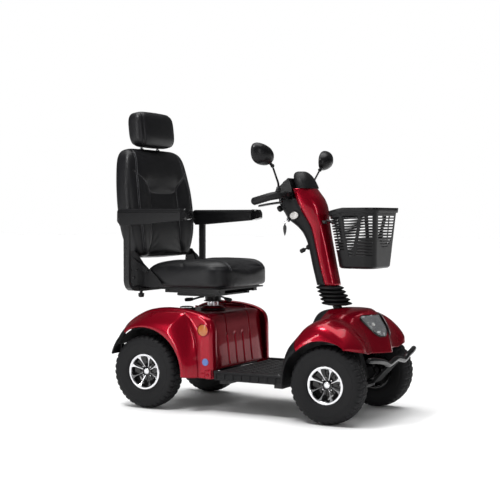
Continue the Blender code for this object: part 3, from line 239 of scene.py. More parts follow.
def modify(obj, kind, **settings):
    modifier = obj.modifiers.new(kind.lower(), kind)
    for key, value in settings.items():
        setattr(modifier, key, value)
    return obj


def soften(obj, width, segments=2, angle=30):
    """Round the edges of a piece."""
    modify(obj, "BEVEL", width=width, segments=segments, limit_method="ANGLE", angle_limit=math.radians(angle),
           harden_normals=True)
    return obj


def sheet_piece(name, grid, thickness, materials, body, outward, replaces=(), slot=None, **options):
    """A panel through a grid, thickened inwards, with its inner side in the second material."""
    verts, faces = grid_mesh(grid, **options)
    obj = piece(name, (verts, faces), materials, body, replaces, recalc=False)
    mesh = obj.data
    facing = Vector((0, 0, 0))
    for polygon in mesh.polygons:
        facing += polygon.normal * polygon.area
    if facing.dot(Vector(outward)) < 0:
        mesh.flip_normals()
    inner = 1 if isinstance(materials, (list, tuple)) and len(materials) > 1 else 0
    modify(obj, "SOLIDIFY", thickness=thickness, offset=-1, material_offset=inner)
    return obj


def turned(profile, centre, axis, count, closed=False):
    """Grid mesh of a turned piece from (radius, distance along the axis)."""
    axis = Vector(axis).normalized()
    side = Vector((0, 0, -1)) if abs(axis.z) < 0.7 else Vector((1, 0, 0))
    side = (side - axis * side.dot(axis)).normalized()
    other = axis.cross(side)
    rows = []
    for radius, along in profile:
        ring = []
        for k in range(count):
            t = 2 * math.pi * k / count
            ring.append(Vector(centre) + axis * along + (side * math.cos(t) + other * math.sin(t)) * radius)
        rows.append(ring)
    return grid_mesh(rows, closed_columns=True, closed_rows=closed)


def tube_rings(path, radii, count=16, squash=1.0):
    """Rings along a path; squash flattens the section across the path's side direction."""
    path = [Vector(p) for p in path]
    radii = np.broadcast_to(radii, len(path))
    tangent = (path[1] - path[0]).normalized()
    side = Vector((0, 1, 0)) if abs(tangent.y) < 0.9 else Vector((0, 0, 1))
    rings = []
    for i, point in enumerate(path):
        tangent = (path[min(i + 1, len(path) - 1)] - path[max(i - 1, 0)]).normalized()
        side = (side - tangent * side.dot(tangent)).normalized()
        up = tangent.cross(side)
        rings.append([point + side * (radii[i] * math.cos(2 * math.pi * k / count))
                      + up * (radii[i] * squash * math.sin(2 * math.pi * k / count)) for k in range(count)])
    return rings


def tube(path, radii, count=16, squash=1.0):
    return grid_mesh(tube_rings(path, radii, count, squash), closed_columns=True, caps=True)


def join(*parts):
    """Several (vertices, faces) as one."""
    verts, faces = [], []
    for part_verts, part_faces in parts:
        start = len(verts)
        verts += [tuple(v) for v in part_verts]
        faces += [tuple(start + k for k in face) for face in part_faces]
    return verts, faces


def moved(part, matrix):
    return [matrix @ Vector(v) for v in part[0]], part[1]


def block(low, high):
    (x0, y0, z0), (x1, y1, z1) = low, high
    verts = [(x, y, z) for x in (x0, x1) for y in (y0, y1) for z in (z0, z1)]
    faces = [(0, 1, 3, 2), (4, 6, 7, 5), (0, 4, 5, 1), (2, 3, 7, 6), (0, 2, 6, 4), (1, 5, 7, 3)]
    return verts, faces


def smooth_step(x, low, high):
    t = np.clip((x - low) / (high - low), 0, 1)
    return t * t * (3 - 2 * t)


def dress(name, mat, bevel=0.0, segments=2):
    """Give a CAD node that stays its finished material and softened edges."""
    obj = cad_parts[name]
    obj.data.materials.clear()
    obj.data.materials.append(mat)
    if bevel:
        soften(obj, bevel, segments)
    return obj


# ---------------------------------------------------------------- camera, floor and light
def make_stage():
    scene = bpy.context.scene
    data = bpy.data.cameras.new("camera")
    data.lens, data.sensor_width = 80.25, 36
    camera = bpy.data.objects.new("camera", data)
    camera.location = Vector((2.8314, -4.4533, 0.8571)) + SHIFT
    camera.rotation_euler = (math.radians(90 - 1.656), 0, math.radians(28.887))
    scene.collection.objects.link(camera)
    scene.camera = camera
    mesh = bpy.data.meshes.new("studio_floor")
    mesh.from_pydata([(-40, -40, 0), (40, -40, 0), (40, 40, 0), (-40, 40, 0)], [], [(0, 1, 2, 3)])
    mesh.materials.append(material("floor_paint", (0.86, 0.86, 0.86), 0.9, 0.01, 2, 0.02))
    floor = bpy.data.objects.new("studio_floor", mesh)
    floor.location.z = -0.0005
    scene.collection.objects.link(floor)

    def lamp(name, kind, place, energy, target=(0.45, 0, 0.5), **settings):
        light = bpy.data.lights.new(name, kind)
        light.energy = energy
        for key, value in settings.items():
            setattr(light, key, value)
        obj = bpy.data.objects.new(name, light)
        obj.location = Vector(place) + SHIFT
        aim = Vector(target) - Vector(place)
        obj.rotation_euler = aim.to_track_quat("-Z", "Y").to_euler()
        scene.collection.objects.link(obj)

    lamp("overhead", "SUN", (0.30, 0.5, 4.0), 3.0, angle=math.radians(60))
    lamp("top_box", "AREA", (0.0, -1.5, 2.9), 46, target=(0.15, -0.3, 0.4), shape="DISK", size=0.75)
    lamp("side_strip", "AREA", (-0.9, -3.2, 1.3), 26, target=(0.5, -0.2, 0.6), shape="RECTANGLE",
         size=0.22, size_y=2.2)
    lamp("front_strip", "AREA", (3.4, -2.4, 1.7), 18, target=(0.9, -0.2, 0.4), shape="RECTANGLE",
         size=0.3, size_y=1.6)
    world = bpy.data.worlds.new("studio")
    scene.world = world
    world.use_nodes = True
    nodes, links = world.node_tree.nodes, world.node_tree.links
    shown = nodes["Background"]
    shown.inputs["Color"].default_value = (1, 1, 1, 1)
    shown.inputs["Strength"].default_value = 1.0
    unseen = nodes.new("ShaderNodeBackground")
    coords = nodes.new("ShaderNodeTexCoord")
    split = nodes.new("ShaderNodeVectorMath")
    split.operation = "DOT_PRODUCT"
    split.inputs[1].default_value = (-0.45, 0.82, 0.35)
    links.new(coords.outputs["Generated"], split.inputs[0])
    ramp = nodes.new("ShaderNodeMapRange")
    ramp.interpolation_type = "SMOOTHSTEP"
    ramp.inputs["From Min"].default_value = 0.0
    ramp.inputs["From Max"].default_value = 1.0
    ramp.inputs["To Min"].default_value = 0.10
    ramp.inputs["To Max"].default_value = 0.9
    links.new(split.outputs["Value"], ramp.inputs["Value"])
    links.new(ramp.outputs["Result"], unseen.inputs["Strength"])
    path = nodes.new("ShaderNodeLightPath")
    dark = nodes.new("ShaderNodeBackground")
    dark.inputs["Strength"].default_value = 0.12
    room = nodes.new("ShaderNodeMixShader")
    links.new(path.outputs["Is Glossy Ray"], room.inputs[0])
    links.new(unseen.outputs[0], room.inputs[1])
    links.new(dark.outputs[0], room.inputs[2])
    mix = nodes.new("ShaderNodeMixShader")
    links.new(path.outputs["Is Camera Ray"], mix.inputs[0])
    links.new(room.outputs[0], mix.inputs[1])
    links.new(shown.outputs[0], mix.inputs[2])
    links.new(mix.outputs[0], nodes["World Output"].inputs["Surface"])
    scene.view_settings.view_transform = "Standard"


make_stage()


# ---------------------------------------------------------------- wheels
def tyre_profile():
    half = [(0.0828, -0.0385), (0.0850, -0.0420), (0.0900, -0.0435), (0.0920, -0.0455), (0.1050, -0.0480),
            (0.1180, -0.0495), (0.1270, -0.0498), (0.1290, -0.0490), (0.1400, -0.0485), (0.1490, -0.0462),
            (0.1560, -0.0415), (0.1605, -0.0340), (0.1632, -0.0230), (0.1645, -0.0110), (0.1650, 0.0)]
    return np.array(half + [(r, -t) for r, t in reversed(half[:-1])])


def make_tyre(end, name, side):
    x, track = TRACKS[end]
    profile = spline(tyre_profile(), 61)
    steps, blocks = 288, 36
    grid = np.zeros((steps, len(profile), 3))
    for i in range(steps):
        turn = 2 * math.pi * i / steps
        phase = (i / steps * blocks) % 1.0
        for j, (radius, across) in enumerate(profile):
            s = across / 0.048
            zigzag = abs(phase * 2 - 1)
            depth = 0.0
            if radius > 0.146:
                if abs(s - 0.16 * (zigzag - 0.5)) < 0.045:
                    depth = 0.0035
                if abs(abs(s) - 0.46 - 0.12 * (zigzag - 0.5)) < 0.05:
                    depth = 0.0035
                cross = (phase + (0.5 if s > 0 else 0.0)) % 1.0
                if 0.05 < abs(s) < 0.46 and cross < 0.24:
                    depth = 0.0030
                if abs(s) >= 0.5 and (phase + 0.25) % 1.0 < 0.34:
                    depth = 0.0038
                if abs(s) > 0.86 and radius < 0.152:
                    depth *= 0.5
            elif abs(radius - 0.1350) < 0.0016:
                depth = 0.0008
            scale = radius - depth
            grid[i, j] = (scale * math.sin(turn), across, -scale * math.cos(turn))
    grid += np.array((x, side * track, AXLE_Z))
    piece(f"tyre_{end}_{name}_tread", grid_mesh(grid, closed_rows=True, closed_columns=True), TYRE,
          f"wheel_{end}_{name}", f"tyre_{end}_{name}", smooth=28)


def make_rim(end, name, side):
    """Machined ring and eight flared spokes over a black dish, with a bright hub cap."""
    x, track = TRACKS[end]
    centre, axis = (x, side * track, AXLE_Z), (0, side, 0)
    body = f"wheel_{end}_{name}"
    ring = [(0.0700, 0.0250), (0.0690, 0.0330), (0.0700, 0.0372), (0.0725, 0.0392), (0.0790, 0.0392),
            (0.0812, 0.0378), (0.0822, 0.0340), (0.0822, 0.0250)]
    parts = [turned(ring, centre, axis, 72, closed=True)]
    for k in range(8):
        angle = math.radians(24 + 45 * k)
        radial = Vector((math.cos(angle), 0, math.sin(angle)))
        tangent = Vector((-math.sin(angle), 0, math.cos(angle)))
        rows = []
        for t in np.linspace(0, 1, 12):
            r = 0.021 + 0.0500 * t
            half = 0.0013 + 0.0010 * t + 0.0125 * max(0.0, t - 0.45) ** 2.6 * 3.4
            top = 0.0165 + 0.0205 * t ** 1.15
            base = Vector(centre) + radial * r
            outward = Vector(axis)
            rows.append([base - tangent * half + outward * (top - 0.0040), base - tangent * half * 0.9 + outward * top,
                         base + tangent * half * 0.9 + outward * top, base + tangent * half + outward * (top - 0.0040)])
        parts.append(grid_mesh(rows, closed_columns=True, caps=True))
    cap = [(0.0, 0.0200), (0.0090, 0.0200), (0.0105, 0.0190), (0.0108, 0.0185), (0.0125, 0.0185), (0.0128, 0.0150),
           (0.0128, 0.0100), (0.0, 0.0100)]
    parts.append(turned(cap, centre, axis, 36))
    for k in range(4):
        angle = math.radians(45 + 90 * k)
        place = Vector(centre) + Vector((math.cos(angle), 0, math.sin(angle))) * 0.0270
        stud = [(0.0, 0.0165), (0.0026, 0.0165), (0.0032, 0.0155), (0.0032, 0.0100), (0.0, 0.0100)]
        parts.append(turned(stud, place, axis, 6))
    piece(f"rim_{end}_{name}_machined_face", join(*parts), ALLOY, body, f"rim_{end}_{name}", 30)
    shaft = 0.094 if end == "rear" else 0.0715
    dish = [(0.0, 0.0145), (0.0190, 0.0145), (0.0215, 0.0130), (0.0225, 0.0080), (0.0300, 0.0050), (0.0600, 0.0070),
            (0.0672, 0.0120), (0.0690, 0.0250), (0.0700, 0.0340), (0.0780, 0.0360), (0.0812, 0.0340), (0.0816, 0.0),
            (0.0816, -0.0340), (0.0822, -0.0370), (0.0805, -0.0395), (0.0760, -0.0395), (0.0740, -0.0370),
            (0.0725, -0.0040), (0.0300, -0.0070), (0.0250, -0.0100), (0.0240, -0.0300), (0.0088, -0.0300),
            (0.0088, -shaft), (0.0, -shaft)]
    parts = [turned(dish, centre, axis, 64)]
    for k in range(8):
        angle = math.radians(46.5 + 45 * k)
        place = Vector(centre) + Vector((math.cos(angle), 0, math.sin(angle))) * 0.043
        boss = [(0.0, 0.0105), (0.0045, 0.0105), (0.0055, 0.0090), (0.0058, 0.0050), (0.0, 0.0050)]
        parts.append(turned(boss, place, axis, 14))
    piece(f"rim_{end}_{name}_black_dish", join(*parts), BLACK_GLOSS, body, (), 35)
    root = Vector(centre) + Vector((math.cos(math.radians(6)), 0, math.sin(math.radians(6)))) * 0.060
    lean = Vector((0.25, side * 0.97, 0))
    valve = [(0.0, 0.021), (0.0024, 0.021), (0.0028, 0.019), (0.0028, 0.010), (0.0034, 0.009), (0.0034, -0.004),
             (0.0, -0.004)]
    piece(f"valve_{end}_{name}", turned(valve, root + Vector((0, side * 0.010, 0)), lean, 12), STEEL, body, ())


for end_name in TRACKS:
    for side_name, sign in SIDES:
        make_tyre(end_name, side_name, sign)
        make_rim(end_name, side_name, sign)


# ---------------------------------------------------------------- rear body
WING_EDGE = [(-0.163, 0.240), (-0.167, 0.272), (-0.163, 0.310), (-0.149, 0.343), (-0.130, 0.370),
             (-0.101, 0.394), (-0.063, 0.417), (-0.016, 0.438), (0.035, 0.450), (0.095, 0.455),
             (0.160, 0.453), (0.225, 0.445), (0.285, 0.429), (0.322, 0.404), (0.335, 0.366),
             (0.337, 0.300), (0.339, 0.222), (0.340, 0.148)]


def wing_section(x, z, side):
    reach = math.hypot(x, z - AXLE_Z)
    degrees = math.degrees(math.atan2(z - AXLE_Z, x))
    tail = max(0.0, degrees - 110) / 50
    lip = 0.200 - 0.026 * tail
    crease = 0.262 + 0.068 * min(1.0, max(0.0, degrees / 53)) ** 1.3
    flare = max(min(crease, reach - 0.016) - lip, 0.5 * (reach - lip))
    panel = max(reach - 0.016, lip + flare + 0.001)
    rows = [(lip + 0.004, 0.3120), (lip, 0.3190), (lip + 0.004, 0.3250), (lip + 0.18 * flare, 0.3262),
            (lip + 0.42 * flare, 0.3190), (lip + 0.66 * flare, 0.3060), (lip + 0.86 * flare, 0.2915),
            (lip + 0.95 * flare, 0.2835), (lip + flare, 0.2775),
            (lip + flare + 0.3 * (max(panel - 0.010, lip + flare) - lip - flare), 0.2730),
            (max(panel - 0.010, lip + flare + 0.0005), 0.2715), (reach - 0.0140, 0.2690), (reach - 0.0065, 0.2630),
            (reach - 0.0008, 0.2520), (reach, 0.2420), (reach - 0.0004, 0.2350), (reach - 0.0040, 0.2303)]
    if tail > 0:
        rows = [(min(r, reach), y) for r, y in rows]
    angle = math.radians(degrees)
    return [(r * math.cos(angle), side * y, AXLE_Z + r * math.sin(angle)) for r, y in rows]


def make_wings():
    edge = spline(WING_EDGE, 137)
    for name, side in SIDES:
        stations = np.array([wing_section(x, z, side) for x, z in edge])
        stations = np.swapaxes(spline(np.swapaxes(stations, 0, 1), 61), 0, 1)
        split = 36
        sheet_piece(f"rear_mudflap_{name}_moulding", stations[:split], 0.0028, BLACK_GRAIN, "chassis",
                    (-1, side, 1), f"rear_mudflap_{name}", "black_plastic")
        sheet_piece(f"rear_wing_{name}_panel", stations[split:], 0.0030, RED, "chassis", (0, side, 0.4),
                    f"rear_wing_{name}", "red_gloss")
        rows = []
        for degrees in np.linspace(-4, 140, 60):
            angle = math.radians(degrees)
            tail = max(0.0, degrees - 110) / 50
            path = [(0.196 - 0.024 * tail, 0.3100), (0.1955 - 0.024 * tail, 0.280), (0.195 - 0.022 * tail, 0.250),
                    (0.190 - 0.020 * tail, 0.222), (0.176, 0.209), (0.150, 0.2070), (0.110, 0.2065)]
            rows.append([(r * math.cos(angle), side * y, AXLE_Z + r * math.sin(angle)) for r, y in path])
        sheet_piece(f"wheel_arch_liner_{name}", refine(rows, 60, 25), 0.0015, INSIDE, "chassis", (-0.5, 0, -1),
                    (), "black_plastic")
        place = Vector((0.288, side * 0.2716, 0.362))
        lens = [(0.0, 0.0052), (0.018, 0.0046), (0.0245, 0.0030), (0.0252, 0.0), (0.0, 0.0)]
        piece(f"reflector_{name}", turned(lens, place, (0, side, 0), 40), AMBER, "chassis", ())
        bezel = [(0.0252, 0.0), (0.0290, 0.0), (0.0300, 0.0025), (0.0290, 0.0048), (0.0262, 0.0052), (0.0252, 0.0040)]
        piece(f"reflector_bezel_{name}", turned(bezel, place, (0, side, 0), 40, closed=True), RED, "chassis", ())
        low, high = sorted((side * 0.2640, side * 0.2765))
        soften(piece(f"wing_foot_{name}", block((0.2380, low, 0.1500), (0.3020, high, 0.1760)), RED, "chassis", ()), 0.0045, 3)
        low, high = sorted((side * 0.2640, side * 0.2790))
        soften(piece(f"wing_foot_boss_{name}", block((0.2990, low, 0.1480), (0.3320, high, 0.1900)), RED, "chassis", ()), 0.0070, 4)
        for k, (x, z, out) in enumerate(((0.2560, 0.1640, 0.2765), (0.3150, 0.1670, 0.2790))):
            bolt = [(0.0, 0.0030), (0.0045, 0.0028), (0.0060, 0.0016), (0.0062, 0.0), (0.0, 0.0)]
            piece(f"wing_foot_bolt_{name}_{k}", turned(bolt, (x, side * out, z), (0, side, 0), 18), RED, "chassis", ())
        spot = [(0.0, 0.0012), (0.0150, 0.0012), (0.0162, 0.0), (0.0, 0.0)]
        piece(f"plain_badge_{name}", turned(spot, Vector((0.300, side * 0.2735, 0.222)), (0, side, 0), 32), BADGE,
              "chassis", ())


def make_cover():
    """Deck and upright box, with slots down the front and seams over the top."""
    profile = [(0.330, 0.186), (0.328, 0.205), (0.323, 0.250), (0.318, 0.300), (0.312, 0.350), (0.307, 0.392),
               (0.302, 0.412), (0.292, 0.4245), (0.276, 0.4290), (0.240, 0.4300), (0.170, 0.4300), (0.100, 0.4300),
               (0.030, 0.4290), (-0.006, 0.4235), (-0.040, 0.4120), (-0.080, 0.3920), (-0.108, 0.3700),
               (-0.124, 0.3500), (-0.130, 0.3220)]
    line = spline(profile, 181)
    slots = (-0.105, -0.035, 0.035, 0.105)
    across = set(np.round(np.linspace(-0.2295, 0.2295, 47), 5))
    for slot in slots:
        across |= {round(slot + d, 5) for d in (-0.0105, -0.0085, -0.0070, -0.0050, 0.0, 0.0050, 0.0070, 0.0085, 0.0105)}
    across |= {-0.2293, 0.2293, -0.2275, 0.2275, -0.2235, 0.2235}
    across = np.array(sorted(across))
    grid = np.zeros((len(line), len(across), 3))
    for i, (x, z) in enumerate(line):
        ahead, behind = line[min(i + 1, len(line) - 1)], line[max(i - 1, 0)]
        dx, dz = ahead - behind
        size = math.hypot(dx, dz)
        inward = (-dz / size, dx / size)
        for j, y in enumerate(across):
            depth = 0.0
            corner = max(0.0, abs(y) - 0.2215) / 0.008
            depth += 0.0025 * (1 - math.sqrt(max(0.0, 1 - min(1.0, corner) ** 2)))
            shoulder = max(0.0, abs(y) - 0.150) / 0.08
            if x > 0.15:
                depth += 0.006 * shoulder ** 2 * smooth_step(x, 0.15, 0.30)
            for slot in slots:
                outer = abs(slot) > 0.07
                near = 1 - smooth_step(abs(y - slot), 0.0060 if x > 0.302 else 0.0035, 0.0085)
                run = smooth_step(z, 0.196, 0.206) * (1 - smooth_step(z, 0.322, 0.338))
                if x > 0.302:
                    depth += 0.0060 * near * run
                    if outer:
                        fade = 1 - smooth_step(abs(y - slot), 0.0015, 0.0050)
                        depth += 0.0022 * fade * smooth_step(z, 0.30, 0.33)
                elif outer and x > 0.150:
                    depth += 0.0022 * (1 - smooth_step(abs(y - slot), 0.0015, 0.0050))
            if abs(z - 0.238) < 0.0022 and x > 0.30:
                depth += 0.0012
            grid[i, j] = (x + inward[0] * depth, y, z + inward[1] * depth)
    sheet_piece("battery_cover_panel", grid, 0.0025, [RED, INSIDE], "chassis", (0.6, 0, 1), "battery_cover",
                "red_gloss")


make_wings()
make_cover()


def make_deck_details():
    ring = [(0.0275, 0.4312), (0.0560, 0.4312), (0.0590, 0.4335), (0.0590, 0.4370), (0.0565, 0.4395),
            (0.0520, 0.4400), (0.0500, 0.4425), (0.0440, 0.4470), (0.0340, 0.4488), (0.0290, 0.4480), (0.0275, 0.4460)]
    piece("post_collar_ring", turned(ring, (0.178, 0, 0), (0, 0, 1), 64, closed=True), BLACK_SATIN, "chassis",
          "post_collar")
    dome = [(0.0440, 0.4474), (0.0500, 0.4432), (0.0518, 0.4408), (0.0545, 0.4402), (0.0500, 0.4450),
            (0.0400, 0.4492), (0.0330, 0.4496), (0.0330, 0.4490)]
    piece("post_collar_trim", turned(dome, (0.178, 0, 0), (0, 0, 1), 64, closed=True), RED, "chassis", ())
    latch = block((0.060, -0.120, 0.4298), (0.118, -0.055, 0.4400))
    soften(piece("hatch_latch_plate", latch, BLACK_SATIN, "chassis", ()), 0.004, 3)
    handle = tube(spline([(0.066, -0.110, 0.444), (0.080, -0.100, 0.4475), (0.100, -0.085, 0.4475),
                          (0.113, -0.070, 0.444)], 14), 0.0035, 10)
    piece("hatch_latch_handle", handle, BLACK_GLOSS, "chassis", ())
    for k, (x, y) in enumerate(((-0.005, -0.150), (-0.005, 0.150), (0.040, -0.190), (0.040, 0.190))):
        knob = [(0.0, 0.4385), (0.0050, 0.4385), (0.0065, 0.4370), (0.0070, 0.4290), (0.0, 0.4290)]
        drop = -0.006 if x < 0 else -0.002
        piece(f"deck_screw_cap_{k}", turned(knob, (x, y, drop), (0, 0, 1), 16), RED, "chassis", ())


make_deck_details()


# ---------------------------------------------------------------- floor
def make_floor():
    """Rubber mat with a raised chequer of short bars, and the sills with their side pockets."""
    x0, x1, half = 0.3440, 0.6840, 0.2380
    nx, ny = 170, 238
    grid = np.zeros((nx, ny, 3))
    cell = 0.0300
    for i, x in enumerate(np.linspace(x0, x1, nx)):
        for j, y in enumerate(np.linspace(-half, half, ny)):
            height = 0.0
            if abs(y) < half - 0.010 and x0 + 0.008 < x < x1 - 0.008:
                u, v = (x + y) / cell / 1.414, (x - y) / cell / 1.414
                fu, fv = u % 1.0, v % 1.0
                if (math.floor(u) + math.floor(v)) % 2:
                    fu, fv = fv, fu
                bar = abs((fv * 3) % 1.0 - 0.5) < 0.26 and 0.10 < fu < 0.90
                height = 0.0022 if bar else 0.0
            grid[i, j] = (x, y, 0.1806 + height)
    obj = sheet_piece("floor_mat_chequer", grid, 0.0030, RUBBER, "chassis", (0, 0, 1), "floor_mat", "rubber")
    obj.data.set_sharp_from_angle(angle=math.radians(20))
    section = [(0.2705, 0.147), (0.2718, 0.150), (0.2720, 0.178), (0.2712, 0.1830), (0.2690, 0.1862), (0.2650, 0.1872),
               (0.2450, 0.1872), (0.2415, 0.1860), (0.2400, 0.1825), (0.2398, 0.1742), (0.0, 0.1742)]
    half_line = spline(section, 61)
    line = np.concatenate([half_line, (half_line * (-1, 1))[::-1][1:]])
    xs = np.linspace(0.3425, 0.6860, 173)
    grid = np.zeros((len(xs), len(line), 3))
    for i, x in enumerate(xs):
        for j, (y, z) in enumerate(line):
            inset = 0.0
            pocket = ((x - 0.350) / 0.042) % 1.0
            if abs(y) > 0.2700 and 0.153 < z < 0.176 and 0.14 < pocket < 0.86:
                inset = 0.0035
            grid[i, j] = (x, y - math.copysign(inset, y), z)
    sheet_piece("footboard_tray", grid, 0.0035, BLACK_GRAIN, "chassis", (0, 0, 1), "footboard", "black_plastic")
    for name, side in SIDES:
        for k, x in enumerate((0.360, 0.655)):
            screw = [(0.0, 0.0015), (0.0035, 0.0012), (0.0045, 0.0), (0.0, 0.0)]
            piece(f"sill_screw_{name}_{k}", turned(screw, (x, side * 0.2555, 0.1872), (0, 0, 1), 16), STEEL,
                  "chassis", ())


make_floor()


# ---------------------------------------------------------------- front body
COWL_SECTIONS = (
    (0.000, [(0.800, 0.463), (0.835, 0.466), (0.880, 0.468), (0.930, 0.468), (0.968, 0.464),
             (1.004, 0.438), (1.036, 0.388), (1.055, 0.336), (1.067, 0.282)]),
    (0.060, [(0.798, 0.456), (0.832, 0.461), (0.875, 0.464), (0.921, 0.464), (0.956, 0.457),
             (0.985, 0.432), (1.013, 0.386), (1.033, 0.336), (1.046, 0.284)]),
    (0.120, [(0.768, 0.402), (0.804, 0.427), (0.851, 0.445), (0.898, 0.451), (0.934, 0.444),
             (0.962, 0.420), (0.989, 0.380), (1.010, 0.336), (1.025, 0.288)]),
    (0.175, [(0.758, 0.380), (0.795, 0.411), (0.844, 0.432), (0.890, 0.437), (0.928, 0.427),
             (0.961, 0.405), (0.993, 0.371), (1.018, 0.334), (1.032, 0.293)]),
    (0.225, [(0.753, 0.370), (0.790, 0.406), (0.840, 0.431), (0.885, 0.436), (0.928, 0.423),
             (0.969, 0.400), (1.006, 0.366), (1.031, 0.331), (1.038, 0.300)]),
    (0.265, [(0.750, 0.359), (0.786, 0.396), (0.834, 0.422), (0.878, 0.428), (0.921, 0.416),
             (0.962, 0.392), (0.999, 0.359), (1.021, 0.329), (1.025, 0.306)]),
    (0.300, [(0.752, 0.340), (0.786, 0.376), (0.832, 0.402), (0.875, 0.408), (0.916, 0.398),
             (0.954, 0.376), (0.985, 0.349), (1.001, 0.329), (1.003, 0.314)]),
    (0.319, [(0.760, 0.318), (0.790, 0.345), (0.834, 0.368), (0.875, 0.375), (0.914, 0.368),
             (0.947, 0.354), (0.973, 0.338), (0.986, 0.326), (0.988, 0.318)]),
    (0.3235, [(0.768, 0.303), (0.794, 0.322), (0.836, 0.343), (0.875, 0.350), (0.912, 0.349),
              (0.942, 0.343), (0.967, 0.333), (0.981, 0.324), (0.984, 0.317)]),
)
INNER_SECTIONS = (
    (0.000, [(0.6900, 0.1625), (0.692, 0.215), (0.697, 0.280), (0.710, 0.345), (0.726, 0.400),
             (0.748, 0.444), (0.7965, 0.462)]),
    (0.060, [(0.6900, 0.1625), (0.692, 0.215), (0.697, 0.280), (0.710, 0.343), (0.724, 0.393),
             (0.744, 0.435), (0.7945, 0.455)]),
    (0.120, [(0.6900, 0.150), (0.692, 0.205), (0.696, 0.255), (0.705, 0.300), (0.720, 0.342),
             (0.740, 0.376), (0.7645, 0.3995)]),
    (0.175, [(0.6900, 0.150), (0.692, 0.202), (0.695, 0.248), (0.704, 0.290), (0.718, 0.328),
             (0.735, 0.358), (0.7550, 0.3765)]),
    (0.225, [(0.6900, 0.150), (0.692, 0.200), (0.695, 0.243), (0.703, 0.282), (0.716, 0.317),
             (0.732, 0.346), (0.7500, 0.3665)]),
    (0.265, [(0.6902, 0.150), (0.692, 0.199), (0.696, 0.240), (0.704, 0.277), (0.716, 0.310),
             (0.731, 0.335), (0.7470, 0.3555)]),
    (0.300, [(0.6905, 0.150), (0.693, 0.197), (0.698, 0.237), (0.706, 0.272), (0.718, 0.302),
             (0.732, 0.322), (0.7485, 0.3365)]),
    (0.319, [(0.6980, 0.150), (0.700, 0.193), (0.705, 0.231), (0.714, 0.262), (0.727, 0.287),
             (0.741, 0.302), (0.7565, 0.3145)]),
    (0.3235, [(0.7030, 0.150), (0.706, 0.190), (0.712, 0.225), (0.722, 0.254), (0.735, 0.274),
              (0.749, 0.288), (0.7640, 0.2995)]),
)


def half_grid(sections, columns, rows):
    """Interpolate section outlines; every distance in rows gives one smooth outline."""
    distances = np.array([d for d, _ in sections])
    outlines = np.array([o for _, o in sections])
    mirrored_d = np.concatenate([-distances[1:][::-1], distances])
    mirrored_o = np.concatenate([outlines[1:][::-1], outlines])
    count = (len(mirrored_d) - 1) * rows + 1
    ys = spline(mirrored_d[:, None], count)[:, 0]
    lines = spline(mirrored_o, count)
    grid = np.zeros((count, columns, 3))
    for i in range(count):
        line = spline(lines[i], columns)
        grid[i, :, 0], grid[i, :, 1], grid[i, :, 2] = line[:, 0], ys[i], line[:, 1]
    return grid


def column_hole(grid, radius, low, high):
    """A skip test for the cells that the steering column passes through."""
    centres = (grid[:-1, :-1] + grid[1:, :-1] + grid[:-1, 1:] + grid[1:, 1:]) / 4
    offset = centres - COLUMN_FOOT
    along = offset @ COLUMN_AXIS
    away = np.linalg.norm(offset - along[..., None] * COLUMN_AXIS, axis=-1)
    gone = (away < radius) & (along > low) & (along < high)
    return lambda i, j: gone[i, j]


def make_front():
    cowl = half_grid(COWL_SECTIONS, 97, 9)
    valley = smooth_step(np.abs(cowl[..., 1]), 0.125, 0.175) * (1 - smooth_step(np.abs(cowl[..., 1]), 0.185, 0.235))
    fall = smooth_step(cowl[..., 0], 0.80, 0.90) * (1 - smooth_step(cowl[..., 0], 1.02, 1.05))
    cowl[..., 2] -= 0.006 * valley * fall
    ridge = np.exp(-(cowl[..., 1] / 0.006) ** 2) * smooth_step(cowl[..., 0], 0.97, 1.02)
    cowl[..., 0] += 0.002 * ridge
    sheet_piece("front_cowl_panel", cowl, 0.0030, [RED, INSIDE], "chassis", (0.5, 0, 1), "front_cowl", "red_gloss",
                skip=column_hole(cowl, 0.048, -0.06, 0.06))
    inner = half_grid(INNER_SECTIONS, 73, 9)
    sheet_piece("front_inner_cover_moulding", inner, 0.0030, BLACK_GRAIN, "chassis", (-1, 0, 0.3), "front_inner_cover",
                "black_plastic", skip=column_hole(inner, 0.048, -0.06, 0.06))
    return cowl


def front_surface(grid):
    """Look up how far forward the cowl's nose lies at a distance from the centre and a height."""
    tree_faces, verts = [], grid.reshape(-1, 3)
    n, m = grid.shape[:2]
    for i in range(n - 1):
        for j in range(m - 1):
            tree_faces.append((i * m + j, (i + 1) * m + j, (i + 1) * m + j + 1, i * m + j + 1))
    tree = BVHTree.FromPolygons([tuple(v) for v in verts], tree_faces)

    def find(y, z):
        hit, normal, _, _ = tree.ray_cast(Vector((1.3, y, z)), Vector((-1, 0, 0)))
        if normal.x < 0:
            normal = -normal
        return hit, normal
    return find


LAMP_ROWS = ((0.4380, 0.011, 0.092), (0.4270, 0.010, 0.106), (0.4130, 0.010, 0.103), (0.3960, 0.010, 0.094),
             (0.3790, 0.011, 0.084), (0.3640, 0.014, 0.072), (0.3510, 0.026, 0.053))


